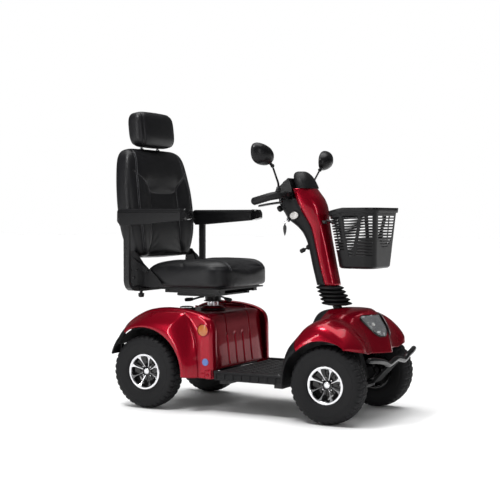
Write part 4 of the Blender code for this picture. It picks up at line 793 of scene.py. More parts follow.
def make_headlights(find):
    rows = spline(LAMP_ROWS, 33)
    lift = Vector((0.83, 0, 0.56))
    for name, side in SIDES:
        surfaces = {"lens": [], "bowl": []}
        outline = []
        for i, (z, near, far) in enumerate(rows):
            lens_row, bowl_row = [], []
            for j in range(37):
                s = j / 36
                y = near + (far - near) * s
                hit, _ = find(y * side, z)
                edge = min(s, 1 - s, i / 32, 1 - i / 32)
                dome = 0.0085 + 0.0022 * smooth_step(edge, 0.0, 0.16)
                lens_row.append(hit + lift * dome)
                u, v = s * 2.0, i / 32 * 1.6
                cell = math.hypot((u % 1.0) - 0.5, (v % 1.0) - 0.5)
                bowl_row.append(hit + lift * (0.0022 + 0.0052 * min(1.0, cell * 1.7)))
            surfaces["lens"].append(lens_row)
            surfaces["bowl"].append(bowl_row)
        lens = np.array(surfaces["lens"])
        bowl = np.array(surfaces["bowl"])
        sheet_piece(f"headlight_{name}_bowl", bowl, 0.0006, CHROME, "chassis", (1, 0, 0.5), (), "lamp_glass")
        sheet_piece(f"headlight_{name}_lens", lens, 0.0012, GLASS, "chassis", (1, 0, 0.5), f"headlight_{name}",
                    "lamp_glass")
        n, m = lens.shape[:2]
        loop = [lens[0, j] for j in range(m)] + [lens[i, -1] for i in range(1, n)]
        loop += [lens[-1, j] for j in range(m - 2, -1, -1)] + [lens[i, 0] for i in range(n - 2, 0, -1)]
        loop = np.array([np.array(p) - np.array(lift) * 0.0045 for p in loop])
        loop = (loop + np.roll(loop, 1, 0) + np.roll(loop, -1, 0)) / 3
        rings = tube_rings([Vector(p) for p in loop], 0.0034, 8)
        piece(f"headlight_{name}_frame", grid_mesh(rings, closed_columns=True, closed_rows=True), BLACK_GLOSS,
              "chassis", ())
        bulb_place, normal = find(side * 0.062, 0.402)
        bulb = [(0.0, 0.0092), (0.0060, 0.0088), (0.0085, 0.0065), (0.0090, 0.0020), (0.0, 0.0020)]
        piece(f"headlight_{name}_bulb", turned(bulb, bulb_place, tuple(lift), 24), WHITE_LENS, "chassis", ())


def make_bumper():
    half = [(0.0, 0.256, 1.0890), (0.045, 0.249, 1.0885), (0.090, 0.242, 1.0875), (0.140, 0.257, 1.0860),
            (0.200, 0.268, 1.0820), (0.262, 0.275, 1.0700)]
    points = [(x, -y, z) for y, z, x in reversed(half)] + [(x, y, z) for y, z, x in half[1:]]
    path = spline(points, 81)
    radii = np.full(81, 0.0128)
    radii[0] = radii[-1] = 0.0085
    radii[1] = radii[-2] = 0.0115
    piece("front_bumper_tube", tube(path, radii, 18), BLACK_GLOSS, "chassis", "front_bumper")
    side = [(0.9605, 0.138), (1.0000, 0.150), (1.0830, 0.238), (1.0780, 0.248), (0.9960, 0.163), (0.9605, 0.152)]
    verts = [(x, y, z) for y in (-0.046, 0.046) for x, z in side]
    faces = [tuple(range(6)), tuple(range(6, 12))[::-1]] + [(k, 6 + k, 6 + (k + 1) % 6, (k + 1) % 6) for k in range(6)]
    soften(piece("front_bumper_bracket", (verts, faces), INSIDE, "chassis", ()), 0.003, 2)


cowl_grid = make_front()
make_headlights(front_surface(cowl_grid))
make_bumper()


def make_bellows():
    folds, low, high = 5, 0.4745, 0.5590
    rings = []
    for k in range(folds * 12 + 1):
        share = k / (folds * 12)
        wave = 0.5 - 0.5 * math.cos(2 * math.pi * folds * share)
        radius = 0.0530 - 0.0070 * share + 0.0150 * wave ** 0.6
        radius -= 0.0085 * (1 - smooth_step(share, 0.0, 0.05))
        x = 0.8135 - 0.0415 * share
        ring = [(x + radius * math.cos(t), radius * math.sin(t), low + (high - low) * share)
                for t in np.linspace(0, 2 * math.pi, 64, endpoint=False)]
        rings.append(ring)
    obj = sheet_piece("bellows_gaiter", rings, 0.0020, RUBBER, None, (0, 0, 1), (), "rubber", closed_columns=True)
    bm = bmesh.new()
    bm.from_mesh(obj.data)
    bmesh.ops.recalc_face_normals(bm, faces=bm.faces)
    bm.to_mesh(obj.data)
    bm.free()
    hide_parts("bellows")
    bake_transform(obj)


make_bellows()


# ---------------------------------------------------------------- tiller
TILLER_SLICES = (
    (0.562, 0.7200, 0.7700, 0.8230, 0.0450),
    (0.650, 0.6980, 0.7456, 0.8040, 0.0470),
    (0.730, 0.6800, 0.7274, 0.7876, 0.0490),
    (0.780, 0.6590, 0.7170, 0.7770, 0.0520),
    (0.815, 0.6290, 0.7080, 0.7705, 0.0560),
    (0.850, 0.5820, 0.6910, 0.7640, 0.0640),
    (0.880, 0.5620, 0.6740, 0.7608, 0.0700),
    (0.910, 0.5420, 0.6600, 0.7540, 0.0745),
    (0.940, 0.5340, 0.6465, 0.7400, 0.0760),
    (0.965, 0.5340, 0.6370, 0.7200, 0.0755),
    (0.986, 0.5340, 0.6290, 0.7030, 0.0740),
)


def half_round(seam, face, half_width, steps):
    points = []
    for k in range(steps + 1):
        angle = math.pi * k / steps
        across = math.copysign(abs(math.cos(angle)) ** 0.80, -math.cos(angle))
        points.append((seam + (face - seam) * math.sin(angle) ** 0.72, half_width * across))
    return points


def make_tiller():
    slices = spline(TILLER_SLICES, 91)
    front, rear = [], []
    for height, back, seam, face, width in slices:
        front.append([(x, y, height) for x, y in half_round(seam + 0.0012, face, width, 40)])
        if height <= 0.9400:
            rear.append([(x, y, height) for x, y in half_round(seam - 0.0006, back, width - 0.0006, 40)])
    sheet_piece("tiller_front_panel", front, 0.0025, [RED, INSIDE], "tiller", (1, 0, 0), "tiller_front_cover",
                "red_gloss")
    sheet_piece("tiller_rear_moulding", rear, 0.0025, BLACK_GRAIN, "tiller", (-1, 0, 0), "tiller_rear_cover",
                "black_plastic")
    caps = []
    for height, back, face, width in spline(((0.9875, 0.6300, 0.7035, 0.0738), (0.9980, 0.6260, 0.6998, 0.0728),
                                             (1.0120, 0.6200, 0.6935, 0.0700), (1.0260, 0.6150, 0.6870, 0.0650),
                                             (1.0390, 0.6110, 0.6790, 0.0570), (1.0500, 0.6100, 0.6700, 0.0460),
                                             (1.0580, 0.6130, 0.6610, 0.0330), (1.0622, 0.6200, 0.6520, 0.0180)), 36):
        centre, depth = (back + face) / 2, (face - back) / 2
        ring = []
        for t in np.linspace(0, 2 * math.pi, 56, endpoint=False):
            c, s = math.cos(t), math.sin(t)
            ring.append((centre + depth * math.copysign(abs(c) ** 0.75, c), width * math.copysign(abs(s) ** 0.75, s),
                         height))
        caps.append(ring)
    verts, faces = grid_mesh(caps, closed_columns=True)
    faces.append(tuple(range(35 * 56, 36 * 56)))
    cap = piece("tiller_cap_dome", (verts, faces), BLACK_GRAIN, "tiller", "tiller_cap")
    modify(cap, "SOLIDIFY", thickness=0.0025, offset=-1)
    for name, side in SIDES:
        place = Vector((0.634, side * 0.0640, 0.868))
        lens = [(0.0, 0.0095), (0.0110, 0.0085), (0.0165, 0.0060), (0.0175, 0.0030), (0.0175, 0.0), (0.0, 0.0)]
        bezel = [(0.0176, -0.004), (0.0215, -0.004), (0.0222, 0.0020), (0.0205, 0.0050), (0.0176, 0.0045)]
        tilt = Vector((-0.25, side, -0.10))
        stretch = (Matrix.Translation(place) @ Matrix.Rotation(math.radians(-18), 4, "Y")
                   @ Matrix.Diagonal((1.35, 1.0, 0.92, 1.0)) @ Matrix.Translation(-place))
        piece(f"side_lamp_{name}", moved(turned(lens, place, tilt, 32), stretch), WHITE_LENS, "tiller", ())
        piece(f"side_lamp_bezel_{name}", moved(turned(bezel, place, tilt, 32, closed=True), stretch), BLACK_SATIN,
              "tiller", ())
    socket = [(0.0, -0.004), (0.0105, -0.004), (0.0145, 0.0), (0.0145, 0.010), (0.0120, 0.013), (0.0085, 0.013),
              (0.0080, 0.006), (0.0, 0.006)]
    piece("charging_socket", turned(socket, (0.5480, -0.0297, 0.9000), (-0.85, 0, -0.5), 28), BLACK_SATIN, "tiller",
          ())
    rose = [(0.0045, 0.0), (0.0105, 0.0), (0.0110, 0.0035), (0.0090, 0.0055), (0.0045, 0.0055)]
    piece("key_switch_rose", turned(rose, (0.5872, -0.0297, 0.8490), (-0.94, 0, -0.34), 28, closed=True), STEEL,
          "tiller", ())
    boot = [(0.0080, -0.006), (0.0112, -0.006), (0.0122, 0.0), (0.0106, 0.006), (0.0085, 0.0085), (0.0080, 0.0085)]
    piece("tilt_lever_boot", turned(boot, (0.6840, -0.026, 0.7275), (-0.89, 0, -0.45), 24, closed=True), RUBBER,
          "tiller", ())


SLOPE = math.atan2(0.047, 0.055)
PANEL_UP = Vector((-math.sin(SLOPE), 0, math.cos(SLOPE)))
PANEL_ALONG = Vector((math.cos(SLOPE), 0, math.sin(SLOPE)))


def on_panel(along, across, up=0.0):
    """A point on the console's sloped face, from its middle."""
    return Vector((0.5775, 0, 1.0085)) + PANEL_ALONG * along + Vector((0, across, 0)) + PANEL_UP * up


def panel_block(name, along, across, size, height, mat, bevel=0.001):
    half_a, half_c = size[0] / 2, size[1] / 2
    verts = [on_panel(along + a, across + c, u) for u in (-0.001, height)
             for a, c in ((-half_a, -half_c), (half_a, -half_c), (half_a, half_c), (-half_a, half_c))]
    faces = [(0, 3, 2, 1), (4, 5, 6, 7), (0, 1, 5, 4), (1, 2, 6, 5), (2, 3, 7, 6), (3, 0, 4, 7)]
    return soften(piece(name, (verts, faces), mat, "tiller", ()), bevel, 2)


def make_console():
    dress("console", BLACK_SATIN, 0.005, 3)
    panel_block("display_window", 0.018, 0.0, (0.020, 0.040), 0.0008, SCREEN, 0.0004)
    for k in range(5):
        bar = panel_block(f"charge_mark_{k}", 0.018, -0.014 + 0.007 * k, (0.008 + 0.001 * k, 0.004), 0.0014,
                          AMBER if k < 2 else BADGE, 0.0003)
        bar.data.update()
    for k, across in enumerate((-0.060, -0.010, 0.010, 0.060)):
        panel_block(f"rocker_switch_{k}", -0.012, across, (0.018, 0.010), 0.0030, BLACK_GLOSS, 0.0012)
    for k in range(9):
        angle = math.radians(-135 + 33.75 * k)
        direction = Vector((math.cos(angle), math.sin(angle)))
        size = (0.0028, 0.0028)
        panel_block(f"dial_mark_{k}", direction.x * 0.0200, -0.034 + direction.y * 0.0200, size, 0.0006, PRINT,
                    0.0003)
    centre = on_panel(0.0, -0.034)
    ribs = []
    for height, radius in ((0.0006, 0.0150), (0.0040, 0.0150), (0.0055, 0.0140), (0.0105, 0.0132), (0.0120, 0.0120),
                           (0.0122, 0.0090), (0.0116, 0.0085), (0.0116, 0.0)):
        ring = []
        for k in range(72):
            t = 2 * math.pi * k / 72
            r = radius - (0.0007 if k % 4 < 2 and 0.0055 <= height <= 0.0110 else 0.0)
            ring.append(centre + PANEL_UP * height + (PANEL_ALONG * math.cos(t) + Vector((0, 1, 0)) * math.sin(t)) * r)
        ribs.append(ring)
    verts, faces = grid_mesh(ribs, closed_columns=True)
    faces.append(tuple(range(72))[::-1])
    piece("speed_dial_knob", (verts, faces), BLACK_SATIN, "speed_dial", "speed_dial", 30)
    pointer = [on_panel(a, -0.034 + c, u) for u in (0.0110, 0.0126)
               for a, c in ((0.003, -0.0008), (0.0105, -0.0008), (0.0105, 0.0008), (0.003, 0.0008))]
    faces = [(0, 3, 2, 1), (4, 5, 6, 7), (0, 1, 5, 4), (1, 2, 6, 5), (2, 3, 7, 6), (3, 0, 4, 7)]
    piece("speed_dial_pointer", (pointer, faces), PRINT, "speed_dial", ())
    button = [(0.0, 0.0046), (0.0050, 0.0044), (0.0078, 0.0036), (0.0091, 0.0022), (0.0092, -0.0050), (0.0, -0.0050)]
    piece("horn_button_cap", turned(button, on_panel(0, 0.034), PANEL_UP, 32), BLACK_GLOSS, "horn_button",
          "horn_button")


HEAD_X, HEAD_Z = 0.612, 0.955


def bar_path(count):
    half = [(HEAD_X, 0.0, HEAD_Z), (HEAD_X, 0.050, HEAD_Z), (HEAD_X, 0.100, HEAD_Z + 0.001),
            (0.604, 0.146, 0.9555), (0.573, 0.170, 0.950), (0.528, 0.174, 0.9385), (0.478, 0.167, 0.927)]
    return spline(half, count)


def make_handlebar():
    left = bar_path(61)
    path = np.concatenate([(left * (1, -1, 1))[::-1], left[1:]])
    bar = path[14:-14]
    piece("handlebar_tube", tube(bar, 0.0125, 18), BLACK_STEEL, "tiller", "handlebar")
    for name, side in SIDES:
        line = left[24:] * (1, side, 1)
        radii = []
        for k in range(len(line)):
            t = k / (len(line) - 1)
            radius = 0.0150 + 0.0025 * smooth_step(t, 0.10, 0.30)
            if 0.42 < t < 0.95:
                radius -= 0.0009 * (k % 3 == 0)
            if t > 0.97:
                radius = 0.0150
            radii.append(radius)
        radii[0] = 0.0128
        radii[-1] = 0.0100
        piece(f"grip_{name}", tube(line, radii, 24, 0.92), RUBBER, "tiller", (), 50)
        clamp_path = [left[20] * (1, side, 1), left[24] * (1, side, 1)]
        piece(f"grip_collar_{name}", tube(clamp_path, 0.0158, 24), BLACK_SATIN, "tiller", ())
        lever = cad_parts[f"throttle_lever_{name}"]
        dress(f"throttle_lever_{name}", BLACK_SATIN)
        modify(lever, "BEVEL", width=0.0030, segments=3, limit_method="ANGLE", angle_limit=math.radians(40))
        pin = [(0.0, 0.016), (0.0045, 0.016), (0.0060, 0.014), (0.0060, -0.003), (0.0, -0.003)]
        piece(f"throttle_pin_{name}", turned(pin, (0.590, side * 0.112, 0.929), tuple(COLUMN_AXIS), 20), STEEL,
              f"throttle_{name}", ())


def make_mirrors():
    for name, side in SIDES:
        base = Vector((0.6000, side * 0.1540, 0.9715))
        knee = Vector((0.6060, side * 0.1680, 1.0080))
        top = Vector((0.6130, side * 0.2280, 1.0700))
        path = spline([base + Vector((0, 0, 0.004)), base + Vector((0.001, side * 0.001, 0.020)), knee,
                       knee.lerp(top, 0.35), knee.lerp(top, 0.7), top], 40)
        radii = [0.0048 - 0.0006 * smooth_step(k, 10, 30) for k in range(40)]
        foot = [(0.0, -0.0002), (0.0105, -0.0002), (0.0110, 0.002), (0.0110, 0.010), (0.0095, 0.012), (0.0085, 0.018),
                (0.0060, 0.021), (0.0, 0.021)]
        piece(f"mirror_stem_{name}_rod", join(tube(path, radii, 14), turned(foot, base, (0, 0, 1), 28)), BLACK_STEEL,
              f"mirror_stem_{name}", f"mirror_stem_{name}")
        centre = Vector((0.6030, side * 0.3080, 1.1245))
        toe = Matrix.Rotation(math.radians(10) * side, 3, "Z")
        ball = Vector((0.6140, side * 0.2360, 1.0785))

        def oval(height, scale, x):
            ring = []
            for t in np.linspace(0, 2 * math.pi, 56, endpoint=False):
                c, s = math.cos(t), math.sin(t)
                across = math.copysign(abs(c) ** 0.84, c) * 0.0660 * scale
                up = math.copysign(abs(s) ** 0.84, s) * 0.0450 * scale * (1 + 0.10 * c)
                ring.append(centre + toe @ Vector((x, side * across, up + across * 0.16)))
            return ring
        rings = [oval(0, s, x) for s, x in ((0.0, 0.0400), (0.20, 0.0392), (0.42, 0.0362), (0.64, 0.0300),
                                            (0.82, 0.0205), (0.94, 0.0100), (0.992, 0.0), (1.0, -0.0050), (0.985, -0.0100),
                                            (0.94, -0.0118), (0.91, -0.0100), (0.90, -0.0085), (0.0, -0.0085))]
        shell = grid_mesh(rings, closed_columns=True)
        neck = tube([ball, ball.lerp(centre + Vector((0.008, 0, -0.006)), 0.30), ball.lerp(centre, 0.5)],
                    [0.0062, 0.0070, 0.0100], 16)
        knob = [(0.0, -0.0085), (0.0050, -0.0070), (0.0082, -0.0030), (0.0088, 0.0), (0.0082, 0.0030),
                (0.0050, 0.0070), (0.0, 0.0085)]
        piece(f"mirror_head_{name}_shell", join(shell, neck, turned(knob, ball, (0, side, 0.7), 20)), BLACK_SATIN,
              f"mirror_head_{name}", f"mirror_head_{name}", 50)
        glass = grid_mesh([oval(0, 0.895, -0.0086), oval(0, 0.895, -0.0100), oval(0, 0.0, -0.0104)],
                          closed_columns=True)
        piece(f"mirror_glass_{name}", glass, MIRROR, f"mirror_head_{name}", ())


def make_tiller_levers():
    root = Vector((0.6855, -0.026, 0.7280))
    way = Vector((-0.89, 0, -0.45))
    path = [root + way * d for d in np.linspace(0.006, 0.046, 22)]
    radii = []
    for d in np.linspace(0.006, 0.046, 22):
        bulge = smooth_step(d, 0.018, 0.026) * (1 - 0.55 * smooth_step(d, 0.043, 0.0465))
        radii.append(0.0038 + 0.0058 * bulge)
    piece("tilt_lever_knob", tube(path, radii, 20), BLACK_SATIN, "tilt_lever", "tilt_lever")
    axis = Vector((-0.94, 0, -0.34)).normalized()
    key = Vector((0.5862, -0.0297, 0.8490))
    stem = turned([(0.0, 0.001), (0.0030, 0.001), (0.0030, 0.0145), (0.0, 0.0145)], key, axis, 14)
    ring = [(0.0028, -0.0011), (0.0083, -0.0011), (0.0087, 0.0), (0.0083, 0.0011), (0.0028, 0.0011)]
    bow = turned(ring, key + axis * 0.0210, (0, 1, 0), 28, closed=True)
    piece("ignition_key_blade", join(stem, bow), STEEL, "ignition_key", "ignition_key", 35)
    hook = key + axis * 0.0210
    tag = [(0.0, 0.003), (0.003, 0.0025), (0.0035, -0.006), (0.0030, -0.016), (0.0075, -0.022), (0.0088, -0.032),
           (0.0070, -0.046), (0.0030, -0.060), (0.0, -0.066)]
    outline = [(a, c) for a, c in tag] + [(-a, c) for a, c in reversed(tag[1:-1])]
    n = len(outline)
    verts = [hook + Vector((a, b, c)) for b in (0.0020, 0.0042) for a, c in outline]
    faces = [tuple(range(n)), tuple(range(n, 2 * n))[::-1]] + [(k, n + k, n + (k + 1) % n, (k + 1) % n) for k in range(n)]
    soften(piece("key_fob_tag", (verts, faces), BLACK_STEEL, "key_fob", "key_fob"), 0.0006, 2)


make_tiller()
make_console()
make_handlebar()
make_mirrors()
make_tiller_levers()


# ---------------------------------------------------------------- basket
def basket_point(turn, height, inset):
    """Plan point of the basket wall at a share of the way round, starting mid-rear."""
    share = (height - 0.640) / 0.260
    rear, front = 0.846 - 0.034 * share + inset, 1.026 + 0.017 * share - inset
    width = 0.110 + 0.036 * share - inset
    rear_r, front_r = 0.072 - inset, 0.042 - inset
    legs = [("line", (rear, 0), (rear, -(width - rear_r))), ("arc", (rear + rear_r, -(width - rear_r)), rear_r, 180),
            ("line", (rear + rear_r, -width), (front - front_r, -width)),
            ("arc", (front - front_r, -(width - front_r)), front_r, 270),
            ("line", (front, -(width - front_r)), (front, width - front_r)),
            ("arc", (front - front_r, width - front_r), front_r, 0),
            ("line", (front - front_r, width), (rear + rear_r, width)),
            ("arc", (rear + rear_r, width - rear_r), rear_r, 90), ("line", (rear, width - rear_r), (rear, 0))]
    shares = (0.035, 0.115, 0.140, 0.065, 0.290, 0.065, 0.140, 0.115, 0.035)
    t = turn
    for leg, part in zip(legs, shares):
        if t <= part + 1e-9:
            f = min(1.0, t / part)
            if leg[0] == "line":
                x = leg[1][0] + (leg[2][0] - leg[1][0]) * f
                y = leg[1][1] + (leg[2][1] - leg[1][1]) * f
            else:
                a = math.radians(leg[3] + 90 * f)
                x, y = leg[1][0] + leg[2] * math.cos(a), leg[1][1] + leg[2] * math.sin(a)
            return x, y, height - max(0.0, 0.90 - x) * 0.20 * share
        t -= part
    return basket_point(0.0, height, inset)


def make_basket():
    around, up = 200, 76
    low, high = 0.6480, 0.8800
    heights = np.linspace(low, high, up)
    grid = np.array([[basket_point(k / around, h, 0.0003) for k in range(around)] for h in heights])
    pitch = 4

    def solid(i, j):
        t = (j + 0.5) / around
        h = (i + 0.5) / (up - 1)
        if h > 0.955 or h < 0.06:
            return True
        if i % pitch >= (2 if h > 0.50 else 1):
            return True
        front = abs(t - 0.5)
        side = min(abs(t - 0.2475), abs(t - 0.7525))
        rear = min(t, 1 - t)
        if front < 0.150:
            edge = 0.135 - 0.030 * (1 - h) ** 2
            return front > edge or abs(front - 0.047 - 0.012 * (h - 0.5)) < 0.0060 or h < 0.34 + 12 * front ** 2
        if side < 0.0925:
            near_front = abs(t - 0.5) - 0.1625
            sweep = 0.075 + 0.085 * (1 - h) ** 1.6
            return near_front < 0.010 or abs(near_front - sweep) < 0.0110 or h < 0.22 or side > 0.088
        if rear > 0.018:
            return h < 0.30 or rear < 0.026 or rear > 0.140
        return h < 0.45 or rear < 0.006
    sheet_piece("basket_walls", grid, 0.0028, BLACK_SATIN, "basket", (0, 0, -1), "basket", "black_plastic",
                closed_columns=True, skip=lambda i, j: not solid(i, j))
    walls = bpy.data.objects["basket_walls"]
    centre = Vector((0.92 + SHIFT.x, 0, 0))
    outward = sum((p.normal.dot(Vector((p.center.x, p.center.y, 0)) - centre) for p in walls.data.polygons))
    if outward < 0:
        walls.data.flip_normals()
    rim = []
    for inset, height in ((-0.0005, 0.8780), (-0.0066, 0.8784), (-0.0072, 0.8820), (-0.0072, 0.8970), (-0.0060, 0.8996),
                          (-0.0030, 0.9000), (0.0020, 0.8988), (0.0028, 0.8960), (0.0028, 0.8800), (0.0020, 0.8780)):
        rim.append([basket_point(k / around, height, inset) for k in range(around)])
    piece("basket_rim_band", grid_mesh(rim, closed_columns=True, closed_rows=True), BLACK_SATIN, "basket", ())
    base = []
    for inset, height in ((0.0030, 0.6485), (0.0, 0.6480), (0.0040, 0.6430), (0.0080, 0.6403), (0.030, 0.6403),
                          (0.090, 0.6403), (0.090, 0.6440), (0.030, 0.6440), (0.0090, 0.6440), (0.0040, 0.6470)):
        ring = []
        for k in range(around):
            x, y, z = basket_point(k / around, max(height, 0.640), 0.0)
            toward = 1 - inset / 0.098
            ring.append((0.924 + (x - 0.924) * toward, y * toward, height))
        base.append(ring)
    verts, faces = grid_mesh(base, closed_columns=True, closed_rows=True)
    floor_verts = [(0.924 + (x - 0.924) * 0.1, y * 0.1, 0.642) for x, y, _ in base[5]]
    piece("basket_base", (verts, faces), BLACK_SATIN, "basket", ())
    low_ring, high_ring = [], []
    for k in range(around):
        x, y, _ = basket_point(k / around, 0.640, 0.0)
        low_ring.append((0.924 + (x - 0.924) * 0.10, y * 0.10, 0.6405))
        high_ring.append((0.924 + (x - 0.924) * 0.10, y * 0.10, 0.6438))
    plug = grid_mesh([low_ring, high_ring], closed_columns=True, caps=True)
    piece("basket_base_plug", plug, BLACK_SATIN, "basket", ())
    for side in (-1, 1):
        arm = tube(spline([(0.7765, side * 0.034, 0.8460), (0.7900, side * 0.034, 0.8435), (0.8040, side * 0.034, 0.8385),
                           (0.8185, side * 0.034, 0.8320)], 16), 0.0045, 12)
        label = "left" if side > 0 else "right"
        piece(f"basket_hook_{label}", arm, BLACK_STEEL, "basket", ())
        low, high = sorted((side * 0.027, side * 0.041))
        soften(piece(f"basket_catch_{label}", block((0.7560, low, 0.8330), (0.7735, high, 0.8450)), BLACK_STEEL, "tiller",
                     ()), 0.0020, 2)


make_basket()


# ---------------------------------------------------------------- seat
RECLINE_PIVOT = Vector((-0.100, 0, 0.655))
LEAN = (Matrix.Translation(RECLINE_PIVOT) @ Matrix.Rotation(math.radians(-6.2), 4, "Y"))


def superellipse(half_x, half_y, power, count):
    points = []
    for k in range(count):
        t = 2 * math.pi * k / count
        c, s = math.cos(t), math.sin(t)
        points.append((math.copysign(abs(c) ** (2 / power), c) * half_x,
                       math.copysign(abs(s) ** (2 / power), s) * half_y))
    return points


def evaluated(obj):
    bpy.context.view_layer.update()
    graph = bpy.context.evaluated_depsgraph_get()
    return bpy.data.meshes.new_from_object(obj.evaluated_get(graph))


def polyline_distance(points, curve):
    """Distance of each 2-D point from a polyline."""
    points = np.asarray(points)
    best = np.full(len(points), 1e9)
    for a, b in zip(curve[:-1], curve[1:]):
        a, b = np.asarray(a, float), np.asarray(b, float)
        along = np.clip(((points - a) @ (b - a)) / max(1e-12, (b - a) @ (b - a)), 0, 1)
        best = np.minimum(best, np.linalg.norm(points - (a + along[:, None] * (b - a)), axis=1))
    return best


def inflate(mesh_data, voxel, seam_gap, cap, matrix):
    """Remesh a closed form, sew down its seams and let cloth pressure fill it between them."""
    verts, faces = mesh_data
    mesh = bpy.data.meshes.new("pad_form")
    mesh.from_pydata([tuple(v) for v in verts], [], faces)
    bm = bmesh.new()
    bm.from_mesh(mesh)
    bmesh.ops.remove_doubles(bm, verts=bm.verts, dist=1e-5)
    bmesh.ops.recalc_face_normals(bm, faces=bm.faces)
    bm.to_mesh(mesh)
    bm.free()
    pad = bpy.data.objects.new("pad_form", mesh)
    bpy.context.scene.collection.objects.link(pad)
    modify(pad, "REMESH", mode="VOXEL", voxel_size=voxel)
    modify(pad, "SMOOTH", factor=0.5, iterations=3)
    remeshed = evaluated(pad)
    pad.modifiers.clear()
    pad.data = remeshed
    count = len(remeshed.vertices)
    start = np.empty(count * 3)
    remeshed.vertices.foreach_get("co", start)
    start = start.reshape(-1, 3)
    normals = np.empty(count * 3)
    remeshed.vertices.foreach_get("normal", normals)
    normals = normals.reshape(-1, 3)
    gap = seam_gap(start, normals)
    start = start - normals * (0.0040 * np.exp(-(gap / 0.0050) ** 2))[:, None]
    remeshed.vertices.foreach_set("co", start.ravel())
    remeshed.update()
    group = pad.vertex_groups.new(name="sewn")
    for index in np.nonzero(gap < 0.0042)[0]:
        group.add([int(index)], 1.0, "REPLACE")
    cloth = pad.modifiers.new("cloth", "CLOTH")
    settings = cloth.settings
    settings.quality = 4
    settings.mass = 0.3
    settings.tension_stiffness = settings.compression_stiffness = 25
    settings.shear_stiffness = 10
    settings.bending_stiffness = 2.0
    settings.use_pressure = True
    settings.uniform_pressure_force = 4.0
    settings.effector_weights.gravity = 0
    settings.vertex_group_mass = "sewn"
    cloth.collision_settings.use_collision = False
    cloth.point_cache.frame_start, cloth.point_cache.frame_end = 1, 20
    for number in range(1, 21):
        bpy.context.scene.frame_set(number)
    filled = evaluated(pad)
    bpy.context.scene.frame_set(1)
    ends = np.empty(count * 3)
    filled.vertices.foreach_get("co", ends)
    travel = ends.reshape(-1, 3) - start
    length = np.linalg.norm(travel, axis=1)
    travel *= (np.minimum(length, cap) / np.maximum(length, 1e-9))[:, None]
    pad.modifiers.clear()
    start = start + travel
    remeshed.vertices.foreach_set("co", start.ravel())
    remeshed.update()
    modify(pad, "SMOOTH", factor=0.4, iterations=2)
    modify(pad, "SUBSURF", levels=1, render_levels=1)
    finished = evaluated(pad)
    bpy.data.objects.remove(pad)
    size = len(finished.vertices)
    place = np.empty(size * 3)
    finished.vertices.foreach_get("co", place)
    finished.vertices.foreach_get("normal", normals := np.empty(size * 3))
    place, normals = place.reshape(-1, 3), normals.reshape(-1, 3)
    gap = seam_gap(place, normals)
    place = place - normals * (0.0016 * np.exp(-(gap / 0.0022) ** 2))[:, None]
    bm = bmesh.new()
    finished.vertices.foreach_set("co", place.ravel())
    bm.from_mesh(finished)
    bpy.data.meshes.remove(finished)
    bmesh.ops.transform(bm, matrix=matrix, verts=bm.verts)
    return bm


def surface_tree(bm):
    return BVHTree.FromBMesh(bm)


def seam_cord(name, tree, curve, cast, radius, mat, body, closed=False):
    """A fine cord laid along a curve on a pad's surface."""
    path = [p for p in (cast(tree, *point) for point in curve) if p is not None]
    rings = tube_rings(path, radius, 8)
    mesh = grid_mesh(rings, closed_columns=True, closed_rows=closed, caps=not closed)
    return piece(name, mesh, mat, body, (), 60)


def stitches(tree, curve, cast, offset, pitch=0.0085, length=0.0055, radius=0.0009):
    """Rows of short threads beside a curve."""
    curve = np.asarray(curve, float)
    steps = np.linalg.norm(np.diff(curve, axis=0), axis=1)
    total = np.concatenate([[0], np.cumsum(steps)])
    parts = []
    side = Vector((0, 0))
    for s in np.arange(pitch, total[-1] - pitch, pitch):
        ends = []
        for d in (s, s + length):
            here = [np.interp(d, total, curve[:, k]) for k in (0, 1)]
            ahead = [np.interp(min(d + 0.002, total[-1]), total, curve[:, k]) for k in (0, 1)]
            way = Vector((ahead[0] - here[0], ahead[1] - here[1]))
            if way.length > 1e-9:
                side = Vector((-way.y, way.x)).normalized()
            ends.append(cast(tree, here[0] + side.x * offset, here[1] + side.y * offset))
        if None in ends:
            continue
        middle = (ends[0] + ends[1]) / 2
        parts.append(tube([ends[0], middle, ends[1]], [radius * 0.6, radius, radius * 0.6], 6))
    return join(*parts)


def both(curve):
    return curve, [(-y, h) for y, h in curve]


RIDGE = [(0.186, 0.514), (0.192, 0.470), (0.203, 0.410), (0.219, 0.330), (0.223, 0.260), (0.220, 0.180), (0.208, 0.100),
         (0.196, 0.052)]
PANEL = [(0.226, 0.418), (0.196, 0.398), (0.160, 0.376), (0.128, 0.352), (0.113, 0.322), (0.114, 0.260), (0.117, 0.150),
         (0.122, 0.090), (0.140, 0.045)]
LUMBAR = [(-0.119, 0.338), (-0.106, 0.323), (-0.080, 0.316), (-0.040, 0.3135), (0.0, 0.313), (0.040, 0.3135),
          (0.080, 0.316), (0.106, 0.323), (0.119, 0.338)]
BACK_SLICES = ((0.020, 0.190, 0.012, -0.042), (0.032, 0.214, 0.028, -0.055), (0.085, 0.240, 0.0400, -0.063),
               (0.150, 0.262, 0.0460, -0.066), (0.245, 0.271, 0.0470, -0.067), (0.330, 0.267, 0.0450, -0.067),
               (0.400, 0.257, 0.0410, -0.067), (0.465, 0.242, 0.0350, -0.066), (0.500, 0.226, 0.0260, -0.062),
               (0.520, 0.204, 0.0120, -0.054), (0.529, 0.174, -0.0030, -0.043))


def dense(curve, count):
    return [tuple(p) for p in spline(curve, count)]


